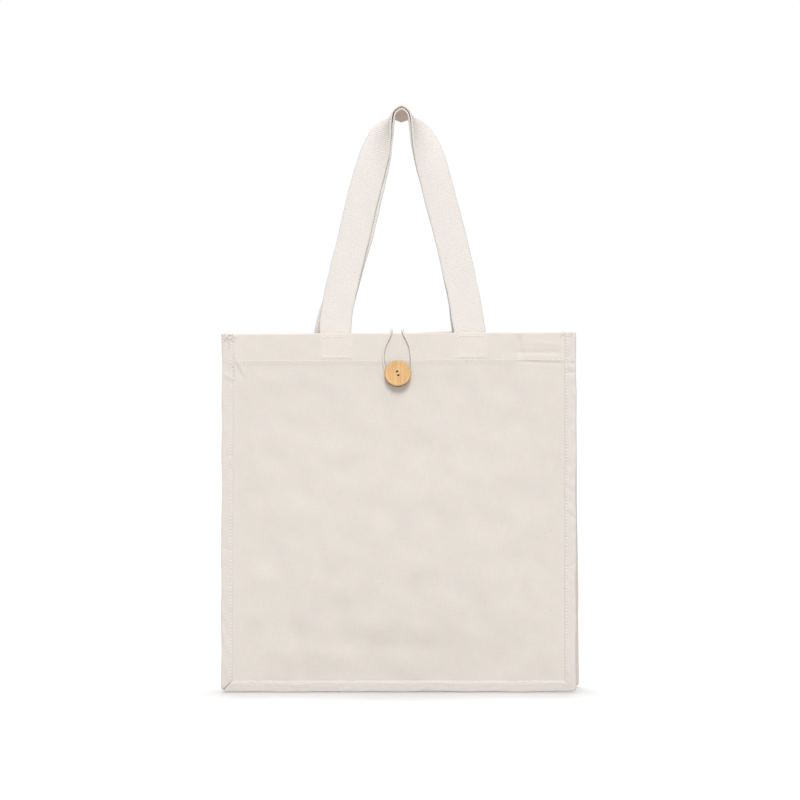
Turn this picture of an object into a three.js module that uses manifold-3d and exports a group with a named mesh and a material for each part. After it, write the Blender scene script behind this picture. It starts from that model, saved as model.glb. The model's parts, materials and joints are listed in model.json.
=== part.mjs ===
// A flat cotton canvas bag as it hangs by its two handles: two panels with a folded hem, a gusset
// strip folded in at the sides and base, bound seams, webbing handles, and an elastic loop that
// hooks behind a round bamboo button.
// Millimetres, +Z up, the front faces -Y. The origin is where the bag hangs: the middle of the
// underside of the inner handle's arch.
import * as THREE from 'three';
import { mergeVertices } from 'three/addons/utils/BufferGeometryUtils.js';
import Module from 'manifold-3d';

// Sizes of the cloth body
const bagWidth = 350; // between the outer edges of the side bindings
const bagHeight = 353; // from the rim down to the outer edge of the base binding
const cloth = 1.0; // canvas wall
const mouthDepth = 14; // between the panels at the side seams, at the rim
const baseDepth = 40; // between the panels at the base seam
const gussetWidth = 80; // the gusset strip between its two seams, laid flat
const gussetFold = 1.6; // half the width of the gusset's rounded fold
const seamWidth = 11.5; // from a seam's root line to the outer edge of its binding
const bindingCloth = 1.0; // wall of the binding tape
const hemHeight = 27.5;
const hemThickness = 2.2; // the folded hem, two layers and the air between them
const hemRamp = 3; // the hem's edge runs out to a single layer over this length
const hemInset = 12; // from the side seam's root line to the end of the double hem
const bellyDepth = 5; // how far a panel swells beyond its seams
const dentDepth = 3; // depth of the deepest dent in a panel

// Sizes of the handles
const rimDrop = 215.4; // from the hang point down to the rim
const webbingWidth = 30;
const webbing = 2.0; // webbing thickness
const footSpan = 134; // between the middles of the front handle's two ends
const footOffset = 4.8; // the front handle's ends sit this far right of the bag's middle
const hangOffset = 4.0; // the hang point lies this far right of the bag's middle
const handleNest = 1.3; // air between the two handles where they lie over one another
const archTilt = 18; // degrees that the near edge of the arch is raised
const untwistLength = 36; // along a handle from the arch, over which its twist dies out
const sewnLength = 28; // webbing inside the hem

// Sizes of the fastening
const buttonDiameter = 26;
const buttonThickness = 4;
const buttonRound = 0.9; // rounding of the button's rim
const buttonDrop = 40.2; // from the rim to the button's middle
const buttonAside = -0.8; // from the bag's middle to the button's middle
const holeDiameter = 1.9;
const holePitch = 3.6;
const holeTurn = 17; // degrees that the line through the two holes leans
const shankLength = 3.2; // from the panel to the button
const shankDiameter = 5.2;
const threadDiameter = 1.2;
const elasticDiameter = 2.2;

// Clearance kept between two pieces that touch
const gap = 0.3;

// Values worked out from the sizes above
const rootX = bagWidth / 2 - seamWidth; // root line of the side seams, from the bag's middle
const rootDown = bagHeight - seamWidth; // root line of the base seam, below the rim
const flange = seamWidth - bindingCloth - gap; // cloth that stands out beyond a root line
const mitreBack = gap / Math.SQRT2; // each piece ends this far short of a corner's diagonal
const fadeLength = 0.95 * gussetWidth; // length over which the gusset turns into a corner
const archLift = 1.5 * webbing + handleNest; // from the hang point to the outer handle's middle

// Rows of soft dents: middle and reach as shares of the panel's half width and height, depth as
// a share of dentDepth (inward below zero), and the lean of the dent in degrees.
const frontDents = [
  { across: -0.66, down: 0.76, reachAcross: 0.1, reachDown: 0.2, depth: -0.45, lean: 4 },
  { across: -0.52, down: 0.72, reachAcross: 0.09, reachDown: 0.22, depth: 0.5, lean: 3 },
  { across: -0.38, down: 0.77, reachAcross: 0.1, reachDown: 0.19, depth: -0.6, lean: -3 },
  { across: 0.34, down: 0.43, reachAcross: 0.34, reachDown: 0.05, depth: 0.4, lean: -9 },
  { across: 0.62, down: 0.55, reachAcross: 0.14, reachDown: 0.12, depth: -0.5, lean: 20 },
  { across: 0.8, down: 0.3, reachAcross: 0.08, reachDown: 0.07, depth: -0.3, lean: 35 },
  { across: 0.1, down: 0.9, reachAcross: 0.7, reachDown: 0.04, depth: -0.5, lean: 1 },
];
const backDents = [
  { across: 0.55, down: 0.7, reachAcross: 0.11, reachDown: 0.2, depth: -0.5, lean: -5 },
  { across: -0.3, down: 0.5, reachAcross: 0.3, reachDown: 0.07, depth: 0.5, lean: 12 },
  { across: -0.6, down: 0.8, reachAcross: 0.1, reachDown: 0.16, depth: -0.4, lean: 6 },
  { across: 0, down: 0.91, reachAcross: 0.7, reachDown: 0.04, depth: -0.4, lean: 0 },
];

// Rows of the front handle's middle line from the rim up to the arch: its distance from the
// middle as a share of half the foot span, and its height above the rim as a share of the climb.
const handleRows = [
  { spread: 1, climb: 0 },
  { spread: 0.991, climb: 0.06 },
  { spread: 0.943, climb: 0.15 },
  { spread: 0.878, climb: 0.24 },
  { spread: 0.806, climb: 0.33 },
  { spread: 0.729, climb: 0.42 },
  { spread: 0.657, climb: 0.51 },
  { spread: 0.583, climb: 0.6 },
  { spread: 0.51, climb: 0.69 },
  { spread: 0.428, climb: 0.782 },
  { spread: 0.346, climb: 0.872 },
  { spread: 0.285, climb: 0.922 },
  { spread: 0.212, climb: 0.961 },
  { spread: 0.118, climb: 0.992 },
  { spread: 0, climb: 1 },
];

// Rows of how far the back handle lies to the right of the front one, as shares of the webbing's
// width, on its left and on its right leg, against the height above the rim.
const slipRows = [
  { climb: 0, left: -0.19, right: -0.09 },
  { climb: 0.06, left: -0.12, right: -0.09 },
  { climb: 0.14, left: -0.01, right: -0.09 },
  { climb: 0.33, left: 0.035, right: -0.1 },
  { climb: 0.45, left: 0.07, right: -0.09 },
  { climb: 0.6, left: 0.08, right: -0.08 },
  { climb: 0.75, left: 0.05, right: -0.05 },
  { climb: 0.9, left: 0, right: 0 },
  { climb: 1, left: 0, right: 0 },
];

// Middle line of the elastic, from its end inside the back hem over the mouth, down the front,
// round behind the button and back. Measured from the middle of the bag's rim.
const elasticRoute = [
  [-6.9, 5.5, -18],
  [-7.0, 5.0, -11],
  [-7.1, 4.5, -4],
  [-7.2, 3.6, 0.6],
  [-7.2, 1.0, 3.3],
  [-7.2, -2.3, 3.9],
  [-7.2, -5.6, 3.8],
  [-7.4, -8.75, 2.1],
  [-8.0, -9.75, -1.2],
  [-10.8, -10.05, -7.4],
  [-13.8, -10.45, -14.3],
  [-15.0, -10.98, -23.2],
  [-14.4, -11.4, -30.1],
  [-12.9, -11.8, -37],
  [-10.6, -12.15, -43],
  [-6.4, -12.45, -47.8],
  [-1.0, -12.55, -49.6],
  [4.6, -12.45, -47.8],
  [9.2, -12.15, -43],
  [11.8, -11.8, -37],
  [12.8, -11.4, -30.1],
  [12.6, -10.98, -23.2],
  [11.8, -10.45, -14.3],
  [9.4, -10.05, -7.4],
  [6.6, -9.75, -1.2],
  [5.9, -8.75, 2.1],
  [5.7, -5.6, 3.8],
  [5.7, -2.3, 3.9],
  [5.7, 1.0, 3.3],
  [5.7, 3.6, 0.6],
  [5.6, 4.5, -4],
  [5.5, 5.0, -11],
  [5.4, 5.5, -18],
];

const finishes = {
  canvas: { color: 0xe9e1d6, roughness: 0.95, metalness: 0 },
  binding: { color: 0xe5dcd1, roughness: 0.95, metalness: 0 },
  webbing: { color: 0xece8e2, roughness: 0.9, metalness: 0 },
  elastic: { color: 0xe6dccf, roughness: 0.8, metalness: 0 },
  bamboo: { color: 0xe4b978, roughness: 0.55, metalness: 0 },
  thread: { color: 0xf0e2da, roughness: 0.8, metalness: 0 },
};

const wasm = await Module();
wasm.setup();

const limit = THREE.MathUtils.clamp;
const radians = THREE.MathUtils.degToRad;

// The numbers from low to high in equal steps, both ends included
function steps(low, high, count) {
  return Array.from({ length: count + 1 }, (_, i) => low + ((high - low) * i) / count);
}

// A column of a table read at a place between its rows, with straight lines from row to row
function readRow(rows, key, place, column) {
  const next = Math.max(1, rows.findIndex((row) => row[key] >= place));
  const [low, high] = [rows[next - 1], rows[next]];
  const share = limit((place - low[key]) / (high[key] - low[key]), 0, 1);
  return low[column] + (high[column] - low[column]) * share;
}

// A closed geometry from points and triangles, turned inside out if its volume is negative
function closedGeometry(points, triangles) {
  let volume = 0;
  for (const [a, b, c] of triangles) {
    volume += points[a].dot(new THREE.Vector3().crossVectors(points[b], points[c]));
  }
  const facing = volume < 0 ? triangles.map(([a, b, c]) => [a, c, b]) : triangles;
  const geometry = new THREE.BufferGeometry();
  geometry.setAttribute(
    'position',
    new THREE.Float32BufferAttribute(points.flatMap((point) => point.toArray()), 3),
  );
  geometry.setIndex(facing.flat());
  geometry.computeVertexNormals();
  return geometry;
}

// A cloth wall. `sheet(u, v)` gives a point of its middle surface, `us` and `vs` are the stations
// across and along it, and `wall(u, v)` gives its thickness either side of that surface.
function clothWall(sheet, us, vs, wall) {
  const faces = [[], []];
  const nudge = 0.01;
  for (const v of vs) {
    for (const u of us) {
      const point = sheet(u, v);
      const alongU = sheet(u + nudge, v).sub(sheet(u - nudge, v));
      const alongV = sheet(u, v + nudge).sub(sheet(u, v - nudge));
      const normal = alongU.cross(alongV).normalize();
      const [front, back] = wall(u, v);
      faces[0].push(point.clone().addScaledVector(normal, front));
      faces[1].push(point.clone().addScaledVector(normal, -back));
    }
  }
  const columns = us.length;
  const rows = vs.length;
  const other = columns * rows;
  const at = (i, j) => j * columns + i;
  const triangles = [];
  for (let j = 0; j < rows - 1; j += 1) {
    for (let i = 0; i < columns - 1; i += 1) {
      const [a, b, c, d] = [at(i, j), at(i + 1, j), at(i + 1, j + 1), at(i, j + 1)];
      triangles.push([a, b, c], [a, c, d]);
      triangles.push([a + other, c + other, b + other], [a + other, d + other, c + other]);
    }
  }
  const edge = [
    ...us.slice(1).map((_, i) => at(i, 0)),
    ...vs.slice(1).map((_, j) => at(columns - 1, j)),
    ...us.slice(1).map((_, i) => at(columns - 1 - i, rows - 1)),
    ...vs.slice(1).map((_, j) => at(0, rows - 1 - j)),
  ];
  edge.forEach((p, i) => {
    const q = edge[(i + 1) % edge.length];
    triangles.push([p + other, q + other, q], [p + other, q, p]);
  });
  return closedGeometry(faces.flat(), triangles);
}

// A closed outline carried through space: `rings` are its copies, `flat` the outline in a plane
function loft(rings, flat) {
  const count = flat.length;
  const triangles = [];
  for (let r = 0; r < rings.length - 1; r += 1) {
    for (let i = 0; i < count; i += 1) {
      const j = (i + 1) % count;
      const [a, b, c, d] = [r * count + i, r * count + j, (r + 1) * count + j, (r + 1) * count + i];
      triangles.push([a, b, c], [a, c, d]);
    }
  }
  const last = (rings.length - 1) * count;
  const turns = THREE.ShapeUtils.isClockWise(flat);
  for (const [a, b, c] of THREE.ShapeUtils.triangulateShape(flat, [])) {
    triangles.push(turns ? [a, b, c] : [a, c, b]);
    triangles.push(turns ? [last + a, last + c, last + b] : [last + a, last + b, last + c]);
  }
  return closedGeometry(rings.flat(), triangles);
}

// Half the distance between the panels at the side seams, at a depth below the rim
function halfDepth(down) {
  const share = limit(down / rootDown, 0, 1);
  return (mouthDepth + (baseDepth - mouthDepth) * Math.sin((share * Math.PI) / 2)) / 2;
}

// How far a panel stands out beyond its seams: a broad belly and the dents of its table
function swell(x, down, dents) {
  const across = limit(x / rootX, -1, 1);
  const along = limit((down - 2 * hemHeight) / (rootDown - 2 * hemHeight), 0, 1);
  let height = bellyDepth * (1 - across ** 2) * Math.sin(Math.PI * along ** 1.3);
  for (const dent of dents) {
    const lean = radians(dent.lean);
    const dx = across - dent.across;
    const dy = down / rootDown - dent.down;
    const u = (dx * Math.cos(lean) + dy * Math.sin(lean)) / dent.reachAcross;
    const v = (dy * Math.cos(lean) - dx * Math.sin(lean)) / dent.reachDown;
    height += dentDepth * dent.depth * Math.exp(-(u * u + v * v)) * (1 - across ** 2) ** 0.5;
  }
  const hanging = limit(down / (2 * hemHeight), 0, 1) * limit((rootDown - down) / hemHeight, 0, 1);
  return height * hanging;
}

// A panel with its hem. `side` is -1 at the front and 1 at the back.
function panel(side, dents) {
  const sheet = (x, down) => {
    const y = halfDepth(down) + cloth / 2 + swell(x, down, dents);
    return new THREE.Vector3(x, side * y, -down);
  };
  const wall = (x, down) => {
    const sideways = limit((rootX - hemInset + hemRamp - Math.abs(x)) / hemRamp, 0, 1);
    const downward = limit((hemHeight + hemRamp - down) / hemRamp, 0, 1);
    const inner = cloth / 2 + (hemThickness - cloth) * sideways * downward;
    return side < 0 ? [inner, cloth / 2] : [cloth / 2, inner];
  };
  const hemEnd = rootX - hemInset;
  const edges = [hemEnd + hemRamp, rootX, rootX + flange];
  const us = [...edges.map((x) => -x).reverse(), ...steps(-hemEnd, hemEnd, 14), ...edges];
  const below = steps(hemHeight + hemRamp, rootDown, 11);
  const vs = [0, hemHeight / 2, hemHeight, ...below, rootDown + flange];
  return clothWall(sheet, us, vs, wall);
}

// A folded strip as an outline: a middle line of points given half a thickness on either side
function stripOutline(line, half) {
  const sideOf = (sign) =>
    line.map((point, i) => {
      const before = line[Math.max(i - 1, 0)];
      const after = line[Math.min(i + 1, line.length - 1)];
      const first = point.clone().sub(before).normalize();
      const second = after.clone().sub(point).normalize();
      const run = first.clone().add(second).normalize();
      const square = first.lengthSq() > 0 ? first : second;
      const reach = half / Math.max(run.dot(square), 0.5);
      return new THREE.Vector2(point.x - sign * run.y * reach, point.y + sign * run.x * reach);
    });
  return [...sideOf(1), ...sideOf(-1).reverse()];
}

// Section of the gusset: `out` counts outward from the root line, and the strip runs from the front
// flange in to the fold and back to the rear flange. `narrow` shortens the fold in the corners.
function gussetSection(depth, narrow) {
  const seam = depth - gap - cloth / 2;
  const fold = Math.sqrt((gussetWidth / 2) ** 2 - seam ** 2) * narrow;
  const legs = steps(0, fold - gussetFold, 2).map((into) => {
    const share = into / (fold - gussetFold);
    return new THREE.Vector2(-into - 0.5, -(seam + (gussetFold - seam) * share));
  });
  const front = [new THREE.Vector2(flange, -seam), ...legs];
  const mirrored = front.map((point) => new THREE.Vector2(point.x, -point.y)).reverse();
  return stripOutline([...front, new THREE.Vector2(-fold - 0.5, 0), ...mirrored], cloth / 2);
}

// Section of a seam's binding, a tape folded round the panel's and the gusset's flanges
function bindingSection(depth) {
  const outside = depth + cloth + gap + bindingCloth;
  const inside = depth - 2 * gap - cloth - bindingCloth;
  const corner = bindingCloth * 0.8;
  const tip = seamWidth - bindingCloth;
  return [
    [0, outside],
    [seamWidth - corner, outside],
    [seamWidth, outside - corner],
    [seamWidth, inside + corner],
    [seamWidth - corner, inside],
    [0, inside],
    [0, inside + bindingCloth],
    [tip, inside + bindingCloth],
    [tip, outside - bindingCloth],
    [0, outside - bindingCloth],
  ].map(([out, y]) => new THREE.Vector2(out, y));
}

// How far a strip has turned towards a corner's diagonal, from 0 along the seam to 1 at the corner
function cornerTurn(left) {
  return limit(1 - left / fadeLength, 0, 1) ** 2;
}

// A strip down a side seam, from the rim to the corner's diagonal. `hand` is -1 left, 1 right.
function sideStrip(hand, sectionAt) {
  const end = rootDown - mitreBack;
  const stations = [...steps(0, end - fadeLength, 8), ...steps(end - fadeLength, end, 6).slice(1)];
  const rings = stations.map((down) => {
    const turn = cornerTurn(end - down);
    return sectionAt(halfDepth(down), turn).map(
      (point) => new THREE.Vector3(hand * (rootX + point.x), point.y, -down - turn * point.x),
    );
  });
  return loft(rings, sectionAt(halfDepth(0), 0));
}

// A strip along the base seam, between the diagonals of the two corners
function baseStrip(sectionAt) {
  const end = rootX - mitreBack;
  const half = [...steps(0, end - fadeLength, 3), ...steps(end - fadeLength, end, 6).slice(1)];
  const stations = [...half.slice(1).map((x) => -x).reverse(), ...half];
  const rings = stations.map((x) => {
    const turn = cornerTurn(end - Math.abs(x));
    return sectionAt(baseDepth / 2, turn).map(
      (point) => new THREE.Vector3(x + Math.sign(x) * turn * point.x, point.y, -rootDown - point.x),
    );
  });
  return loft(rings, sectionAt(baseDepth / 2, 1));
}

const gussetAt = (depth, turn) => gussetSection(depth, 1 - (1 - Math.SQRT1_2) * turn);
const bindingAt = (side) => (depth) =>
  bindingSection(depth).map((point) => new THREE.Vector2(point.x, side * point.y));

// Distance from the middle plane to a handle's middle where it is sewn inside the hem
function sewnDepth(down) {
  return halfDepth(down) - (hemThickness - cloth) - gap - webbing / 2;
}

// The front handle's middle line, from one end in the hem over the arch to the other end
function frontLine() {
  const climbing = rimDrop + archLift * Math.cos(radians(archTilt));
  const archY = archLift * Math.sin(radians(archTilt));
  const footY = -sewnDepth(0);
  const leg = handleRows.map(({ spread, climb }) => ({
    middle: (footOffset - hangOffset) * (1 - climb),
    reach: (spread * footSpan) / 2,
    y: footY + (archY - footY) * climb,
    z: climb * climbing - rimDrop,
  }));
  const hidden = [1, 0.5].map((share) => ({ ...leg[0], z: -rimDrop - share * sewnLength }));
  const rows = [...hidden, ...leg];
  const points = [
    ...rows.map((row) => new THREE.Vector3(row.middle - row.reach, row.y, row.z)),
    ...rows.slice(0, -1).reverse().map((row) => new THREE.Vector3(row.middle + row.reach, row.y, row.z)),
  ];
  const line = new THREE.CatmullRomCurve3(points, false, 'centripetal');
  line.arcLengthDivisions = 800;
  return line;
}

// The front handle's webbing at a distance along its middle line: the point, the direction of its
// width and the direction that its outer face looks in. It lies flat along the legs and turns edge-on
// at the arch.
function frontWebbing(line) {
  const length = line.getLength();
  return (distance) => {
    const place = limit(distance / length, 0, 1);
    const point = line.getPointAt(place);
    const tangent = line.getTangentAt(place);
    const fromArch = Math.abs(distance - length / 2);
    const turn = radians(90 + archTilt) * Math.exp(-((fromArch / untwistLength) ** 1.25));
    const width = new THREE.Vector3(tangent.z, 0, -tangent.x).setLength(Math.cos(turn));
    width.y = -Math.sin(turn);
    width.addScaledVector(tangent, -width.dot(tangent)).normalize();
    const outward = new THREE.Vector3().crossVectors(width, tangent);
    if (point.z < -rimDrop) point.y = -sewnDepth(-rimDrop - point.z);
    return { point, width, outward, leg: distance < length / 2 ? 'left' : 'right' };
  };
}

// The back handle's webbing: nested under the front one at the arch, spreading to the back hem, and
// slipped sideways by its table
function backWebbing(front) {
  const nested = webbing + handleNest;
  const spread = 2 * sewnDepth(0) - nested;
  return (distance) => {
    const { point, width, outward, leg } = front(distance);
    const climb = limit((point.z + rimDrop) / rimDrop, 0, 1);
    const slip = readRow(slipRows, 'climb', climb, leg) * webbingWidth;
    point.addScaledVector(outward, -nested - spread * (1 - climb));
    point.x += slip;
    if (point.z < -rimDrop) point.y = sewnDepth(-rimDrop - point.z);
    return { point, width, outward, leg };
  };
}

// Webbing as a wall of cloth, with its stations closer together near the arch
function webbingWall(webbingAt, length) {
  const count = 25;
  const middle = length / 2;
  const free = steps(-count, count, 2 * count).map(
    (i) => middle + (middle - sewnLength) * Math.sign(i) * (Math.abs(i) / count) ** 1.65,
  );
  const stations = [0, sewnLength / 2, ...free, length - sewnLength / 2, length];
  const sheet = (across, distance) => {
    const { point, width } = webbingAt(distance);
    return point.addScaledVector(width, across);
  };
  const across = steps(-webbingWidth / 2, webbingWidth / 2, 2);
  return clothWall(sheet, across, stations, () => [webbing / 2, webbing / 2]);
}

// The round elastic along its route
function elasticGeometry() {
  const sides = 8;
  const outline = new THREE.Shape(
    steps(0, sides - 1, sides - 1).map((i) => {
      const angle = (2 * Math.PI * (i + 0.5)) / sides;
      const radius = elasticDiameter / 2;
      return new THREE.Vector2(radius * Math.cos(angle), radius * Math.sin(angle));
    }),
  );
  const route = elasticRoute.map((point) => new THREE.Vector3(...point));
  const extrudePath = new THREE.CatmullRomCurve3(route, false, 'centripetal');
  return new THREE.ExtrudeGeometry(outline, { extrudePath, steps: 64 });
}

// Middle of each of the button's two holes
function holeCentres() {
  const lean = radians(holeTurn);
  const reach = holePitch / 2;
  return [-1, 1].map((end) => [end * reach * Math.sin(lean), -end * reach * Math.cos(lean)]);
}

// The button: a disc with a rounded rim and two holes. It is drawn flat and stood up afterwards.
function buttonGeometry() {
  const outline = new THREE.Shape().absarc(0, 0, buttonDiameter / 2, 0, 2 * Math.PI);
  for (const [x, y] of holeCentres()) {
    outline.holes.push(new THREE.Path().absarc(x, y, holeDiameter / 2, 0, 2 * Math.PI, true));
  }
  const geometry = new THREE.ExtrudeGeometry(outline, {
    depth: buttonThickness - 2 * buttonRound,
    bevelThickness: buttonRound,
    bevelSize: buttonRound / 2,
    bevelOffset: -buttonRound / 2,
    bevelSegments: 2,
    curveSegments: 10,
  });
  return geometry.translate(0, 0, buttonRound);
}

// A three.js geometry as a solid that can be joined to others
function solid(geometry) {
  const bare = geometry.clone();
  bare.deleteAttribute('normal');
  bare.deleteAttribute('uv');
  const merged = mergeVertices(bare, 1e-4);
  return new wasm.Manifold(
    new wasm.Mesh({
      numProp: 3,
      vertProperties: merged.attributes.position.array,
      triVerts: new Uint32Array(merged.index.array),
    }),
  );
}

// The thread: a wound shank behind the button, a strand through each hole and a bar across them
function threadGeometry() {
  const top = shankLength + buttonThickness + gap + threadDiameter / 2;
  const shankTop = shankLength - gap;
  const radius = threadDiameter / 2;
  const shankHeight = shankTop - gap;
  const shank = new THREE.CylinderGeometry(shankDiameter / 2, shankDiameter / 2, shankHeight, 16);
  let body = solid(shank.rotateX(Math.PI / 2).translate(0, 0, gap + shankHeight / 2));
  for (const [x, y] of holeCentres()) {
    const strand = new THREE.CylinderGeometry(radius, radius, top - shankTop + 1, 10);
    body = body.add(solid(strand.rotateX(Math.PI / 2).translate(x, y, (top + shankTop - 1) / 2)));
    body = body.add(solid(new THREE.SphereGeometry(radius * 1.02, 10, 8).translate(x, y, top)));
  }
  const bar = new THREE.CylinderGeometry(radius, radius, holePitch, 10);
  body = body.add(solid(bar.rotateZ(radians(holeTurn)).translate(0, 0, top)));
  const mesh = body.getMesh();
  const geometry = new THREE.BufferGeometry();
  geometry.setAttribute('position', new THREE.Float32BufferAttribute(mesh.vertProperties, 3));
  geometry.setIndex(Array.from(mesh.triVerts));
  geometry.computeVertexNormals();
  return geometry;
}

function piece(name, geometry, finish) {
  const mesh = new THREE.Mesh(geometry, new THREE.MeshStandardMaterial(finishes[finish]));
  mesh.name = name;
  return mesh;
}

// The cloth body, drawn from the middle of its rim
const body = new THREE.Group();
body.position.set(-hangOffset, 0, -rimDrop);
body.add(piece('front_panel', panel(-1, frontDents), 'canvas'));
body.add(piece('back_panel', panel(1, backDents), 'canvas'));
body.add(piece('gusset_left', sideStrip(-1, gussetAt), 'canvas'));
body.add(piece('gusset_base', baseStrip(gussetAt), 'canvas'));
body.add(piece('gusset_right', sideStrip(1, gussetAt), 'canvas'));
for (const [label, side] of [['front', -1], ['back', 1]]) {
  body.add(piece(`${label}_binding_left`, sideStrip(-1, bindingAt(side)), 'binding'));
  body.add(piece(`${label}_binding_base`, baseStrip(bindingAt(side)), 'binding'));
  body.add(piece(`${label}_binding_right`, sideStrip(1, bindingAt(side)), 'binding'));
}
body.add(piece('elastic_loop', elasticGeometry(), 'elastic'));

// The button and its thread, drawn lying down and stood against the front panel's slope
const fastening = new THREE.Group();
const slope = (halfDepth(buttonDrop + 1) - halfDepth(buttonDrop - 1)) / 2;
const face = halfDepth(buttonDrop) + cloth + swell(buttonAside, buttonDrop, frontDents);
fastening.position.set(buttonAside, -face, -buttonDrop);
fastening.rotation.x = Math.PI / 2 - Math.atan(slope);
const button = piece('button', buttonGeometry(), 'bamboo');
button.position.z = shankLength;
fastening.add(button, piece('button_thread', threadGeometry(), 'thread'));
body.add(fastening);

// The whole bag
const bag = new THREE.Group();
const handleLine = frontLine();
const front = frontWebbing(handleLine);
bag.add(body);
bag.add(piece('front_handle', webbingWall(front, handleLine.getLength()), 'webbing'));
bag.add(piece('back_handle', webbingWall(backWebbing(front), handleLine.getLength()), 'webbing'));

export default bag;
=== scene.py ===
"""Looks of a flat cotton canvas bag that hangs by its two webbing handles.

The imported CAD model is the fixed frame. Each sub-assembly is a class that holds its sizes, builds
its meshes as numpy surfaces and dresses them. Lengths are in millimetres until a mesh is written,
which happens in metres, with +Z up and the front facing -Y.
"""

from __future__ import annotations

import json
import logging
import math
from dataclasses import dataclass, field
from enum import Enum
from typing import Callable, Sequence

import bmesh
import bpy
import numpy as np
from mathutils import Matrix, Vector

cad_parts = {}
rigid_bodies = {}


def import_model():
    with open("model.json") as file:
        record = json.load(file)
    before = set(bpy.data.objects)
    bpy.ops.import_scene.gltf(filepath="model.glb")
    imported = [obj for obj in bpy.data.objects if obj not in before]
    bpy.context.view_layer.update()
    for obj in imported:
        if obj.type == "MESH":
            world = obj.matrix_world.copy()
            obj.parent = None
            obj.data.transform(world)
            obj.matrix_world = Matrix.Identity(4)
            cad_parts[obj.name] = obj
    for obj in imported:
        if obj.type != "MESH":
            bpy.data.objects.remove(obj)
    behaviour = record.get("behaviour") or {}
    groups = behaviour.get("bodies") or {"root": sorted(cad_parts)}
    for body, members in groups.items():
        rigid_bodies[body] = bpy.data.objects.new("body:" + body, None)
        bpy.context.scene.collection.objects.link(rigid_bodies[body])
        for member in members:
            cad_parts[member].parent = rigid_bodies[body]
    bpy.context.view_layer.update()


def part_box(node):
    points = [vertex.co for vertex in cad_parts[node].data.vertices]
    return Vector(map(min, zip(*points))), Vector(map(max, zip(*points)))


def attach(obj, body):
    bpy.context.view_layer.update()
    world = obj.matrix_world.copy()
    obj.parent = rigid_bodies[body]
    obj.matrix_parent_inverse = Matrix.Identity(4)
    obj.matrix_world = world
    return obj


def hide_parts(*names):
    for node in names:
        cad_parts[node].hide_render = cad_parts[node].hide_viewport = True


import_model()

Array = np.ndarray
Colour = tuple[float, float, float]
MM = 0.001
BODY = "root"
log = logging.getLogger("cotton_bag")


class Side(Enum):
    """The bag's two faces, valued by the sign of Y that they look towards."""

    FRONT = -1
    BACK = 1

    @property
    def label(self) -> str:
        """The word that the frame's node names start with."""
        return self.name.lower()


class Run(Enum):
    """The three runs of a seam, valued by the sign of X of their side, or 0 for the base."""

    LEFT = -1
    BASE = 0
    RIGHT = 1

    @property
    def label(self) -> str:
        """The word that the frame's node names use."""
        return self.name.lower()


class Held(Enum):
    HUNG = "hung"
    FOLDED = "folded"


def ramp(low: float, high: float, value: Array) -> Array:
    """A smooth step from 0 below `low` to 1 above `high`.

    Args:
        low: Where the step starts.
        high: Where it ends.
        value: The numbers to read it at.

    Returns:
        3t^2 - 2t^3 of the share t of the way from low to high.
    """
    share = np.clip((np.asarray(value, float) - low) / (high - low), 0.0, 1.0)
    return share * share * (3.0 - 2.0 * share)


def unit(vectors: Array) -> Array:
    """Vectors scaled to length 1 along their last axis.

    Args:
        vectors: Any array whose last axis holds x, y and z.

    Returns:
        The same array, each vector divided by its length.
    """
    return vectors / np.maximum(np.linalg.norm(vectors, axis=-1, keepdims=True), 1e-12)


def soft_waves(across: Array, along: Array, reach: float, seed: int, count: int = 14) -> Array:
    """Gentle random relief, as of cloth that has been folded and hung.

    It is the sum of cosine waves of random heading and phase whose lengths lie round `reach`.

    Args:
        across: First coordinate of each point.
        along: Second coordinate of each point.
        reach: Usual length of a wave.
        seed: Chooses the waves.
        count: Number of waves.

    Returns:
        Heights of about -2 to 2 with a mean square of 1.
    """
    rng = np.random.default_rng(seed)
    total = np.zeros(np.broadcast(across, along).shape)
    for heading, stretch, phase in rng.uniform((0, 0.7, 0), (math.tau, 1.6, math.tau), (count, 3)):
        wave = math.tau / (reach * stretch)
        total = total + np.cos(wave * (across * math.cos(heading) + along * math.sin(heading)) + phase)
    return total / math.sqrt(count / 2)


@dataclass
class Surface:
    """A closed mesh of quads, in millimetres in the bag's frame, with cloth coordinates."""

    points: Array
    quads: Array
    cloth: Array
    backing_and_painted_shade: Array | None = None

    def joined(self, *others: Surface) -> Surface:
        """One surface that holds this one and others, each with its own points.

        Args:
            others: The surfaces to add.

        Returns:
            The joined surface.
        """
        parts = (self, *others)
        starts = np.cumsum([0] + [len(part.points) for part in parts[:-1]])
        return Surface(
            np.concatenate([part.points for part in parts]),
            np.concatenate([part.quads + start for part, start in zip(parts, starts)]),
            np.concatenate([part.cloth for part in parts]),
            None if self.backing_and_painted_shade is None else np.concatenate([part.backing_and_painted_shade for part in parts]),
        )

    def moved(self, move: Callable[[Array], Array]) -> Surface:
        """The surface with its points put through a function of all of them."""
        return Surface(move(self.points), self.quads, self.cloth, self.backing_and_painted_shade)


def grid_quads(rows: int, columns: int, closed: bool = False) -> Array:
    """Quads of a grid of points numbered along its last axis first.

    Args:
        rows: Points along the first axis.
        columns: Points along the last axis.
        closed: Whether the last axis joins back to its first point.

    Returns:
        Four point numbers a quad, facing the first axis crossed with the last.
    """
    wide = columns if closed else columns - 1
    i, j = np.meshgrid(np.arange(rows - 1), np.arange(wide), indexing="ij")
    after = (j + 1) % columns
    corners = (i * columns + j, (i + 1) * columns + j, (i + 1) * columns + after, i * columns + after)
    return np.stack([c.ravel() for c in corners], axis=1)


def edge_loop(rows: int, columns: int) -> Array:
    """Point numbers round the rim of a grid, in the order in which its quads pass them."""
    low = np.arange(rows - 1) * columns
    last = (rows - 1) * columns + np.arange(columns - 1)
    high = (np.arange(rows - 1, 0, -1)) * columns + columns - 1
    first = np.arange(columns - 1, 0, -1)
    return np.concatenate([low, last, high, first])


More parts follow.
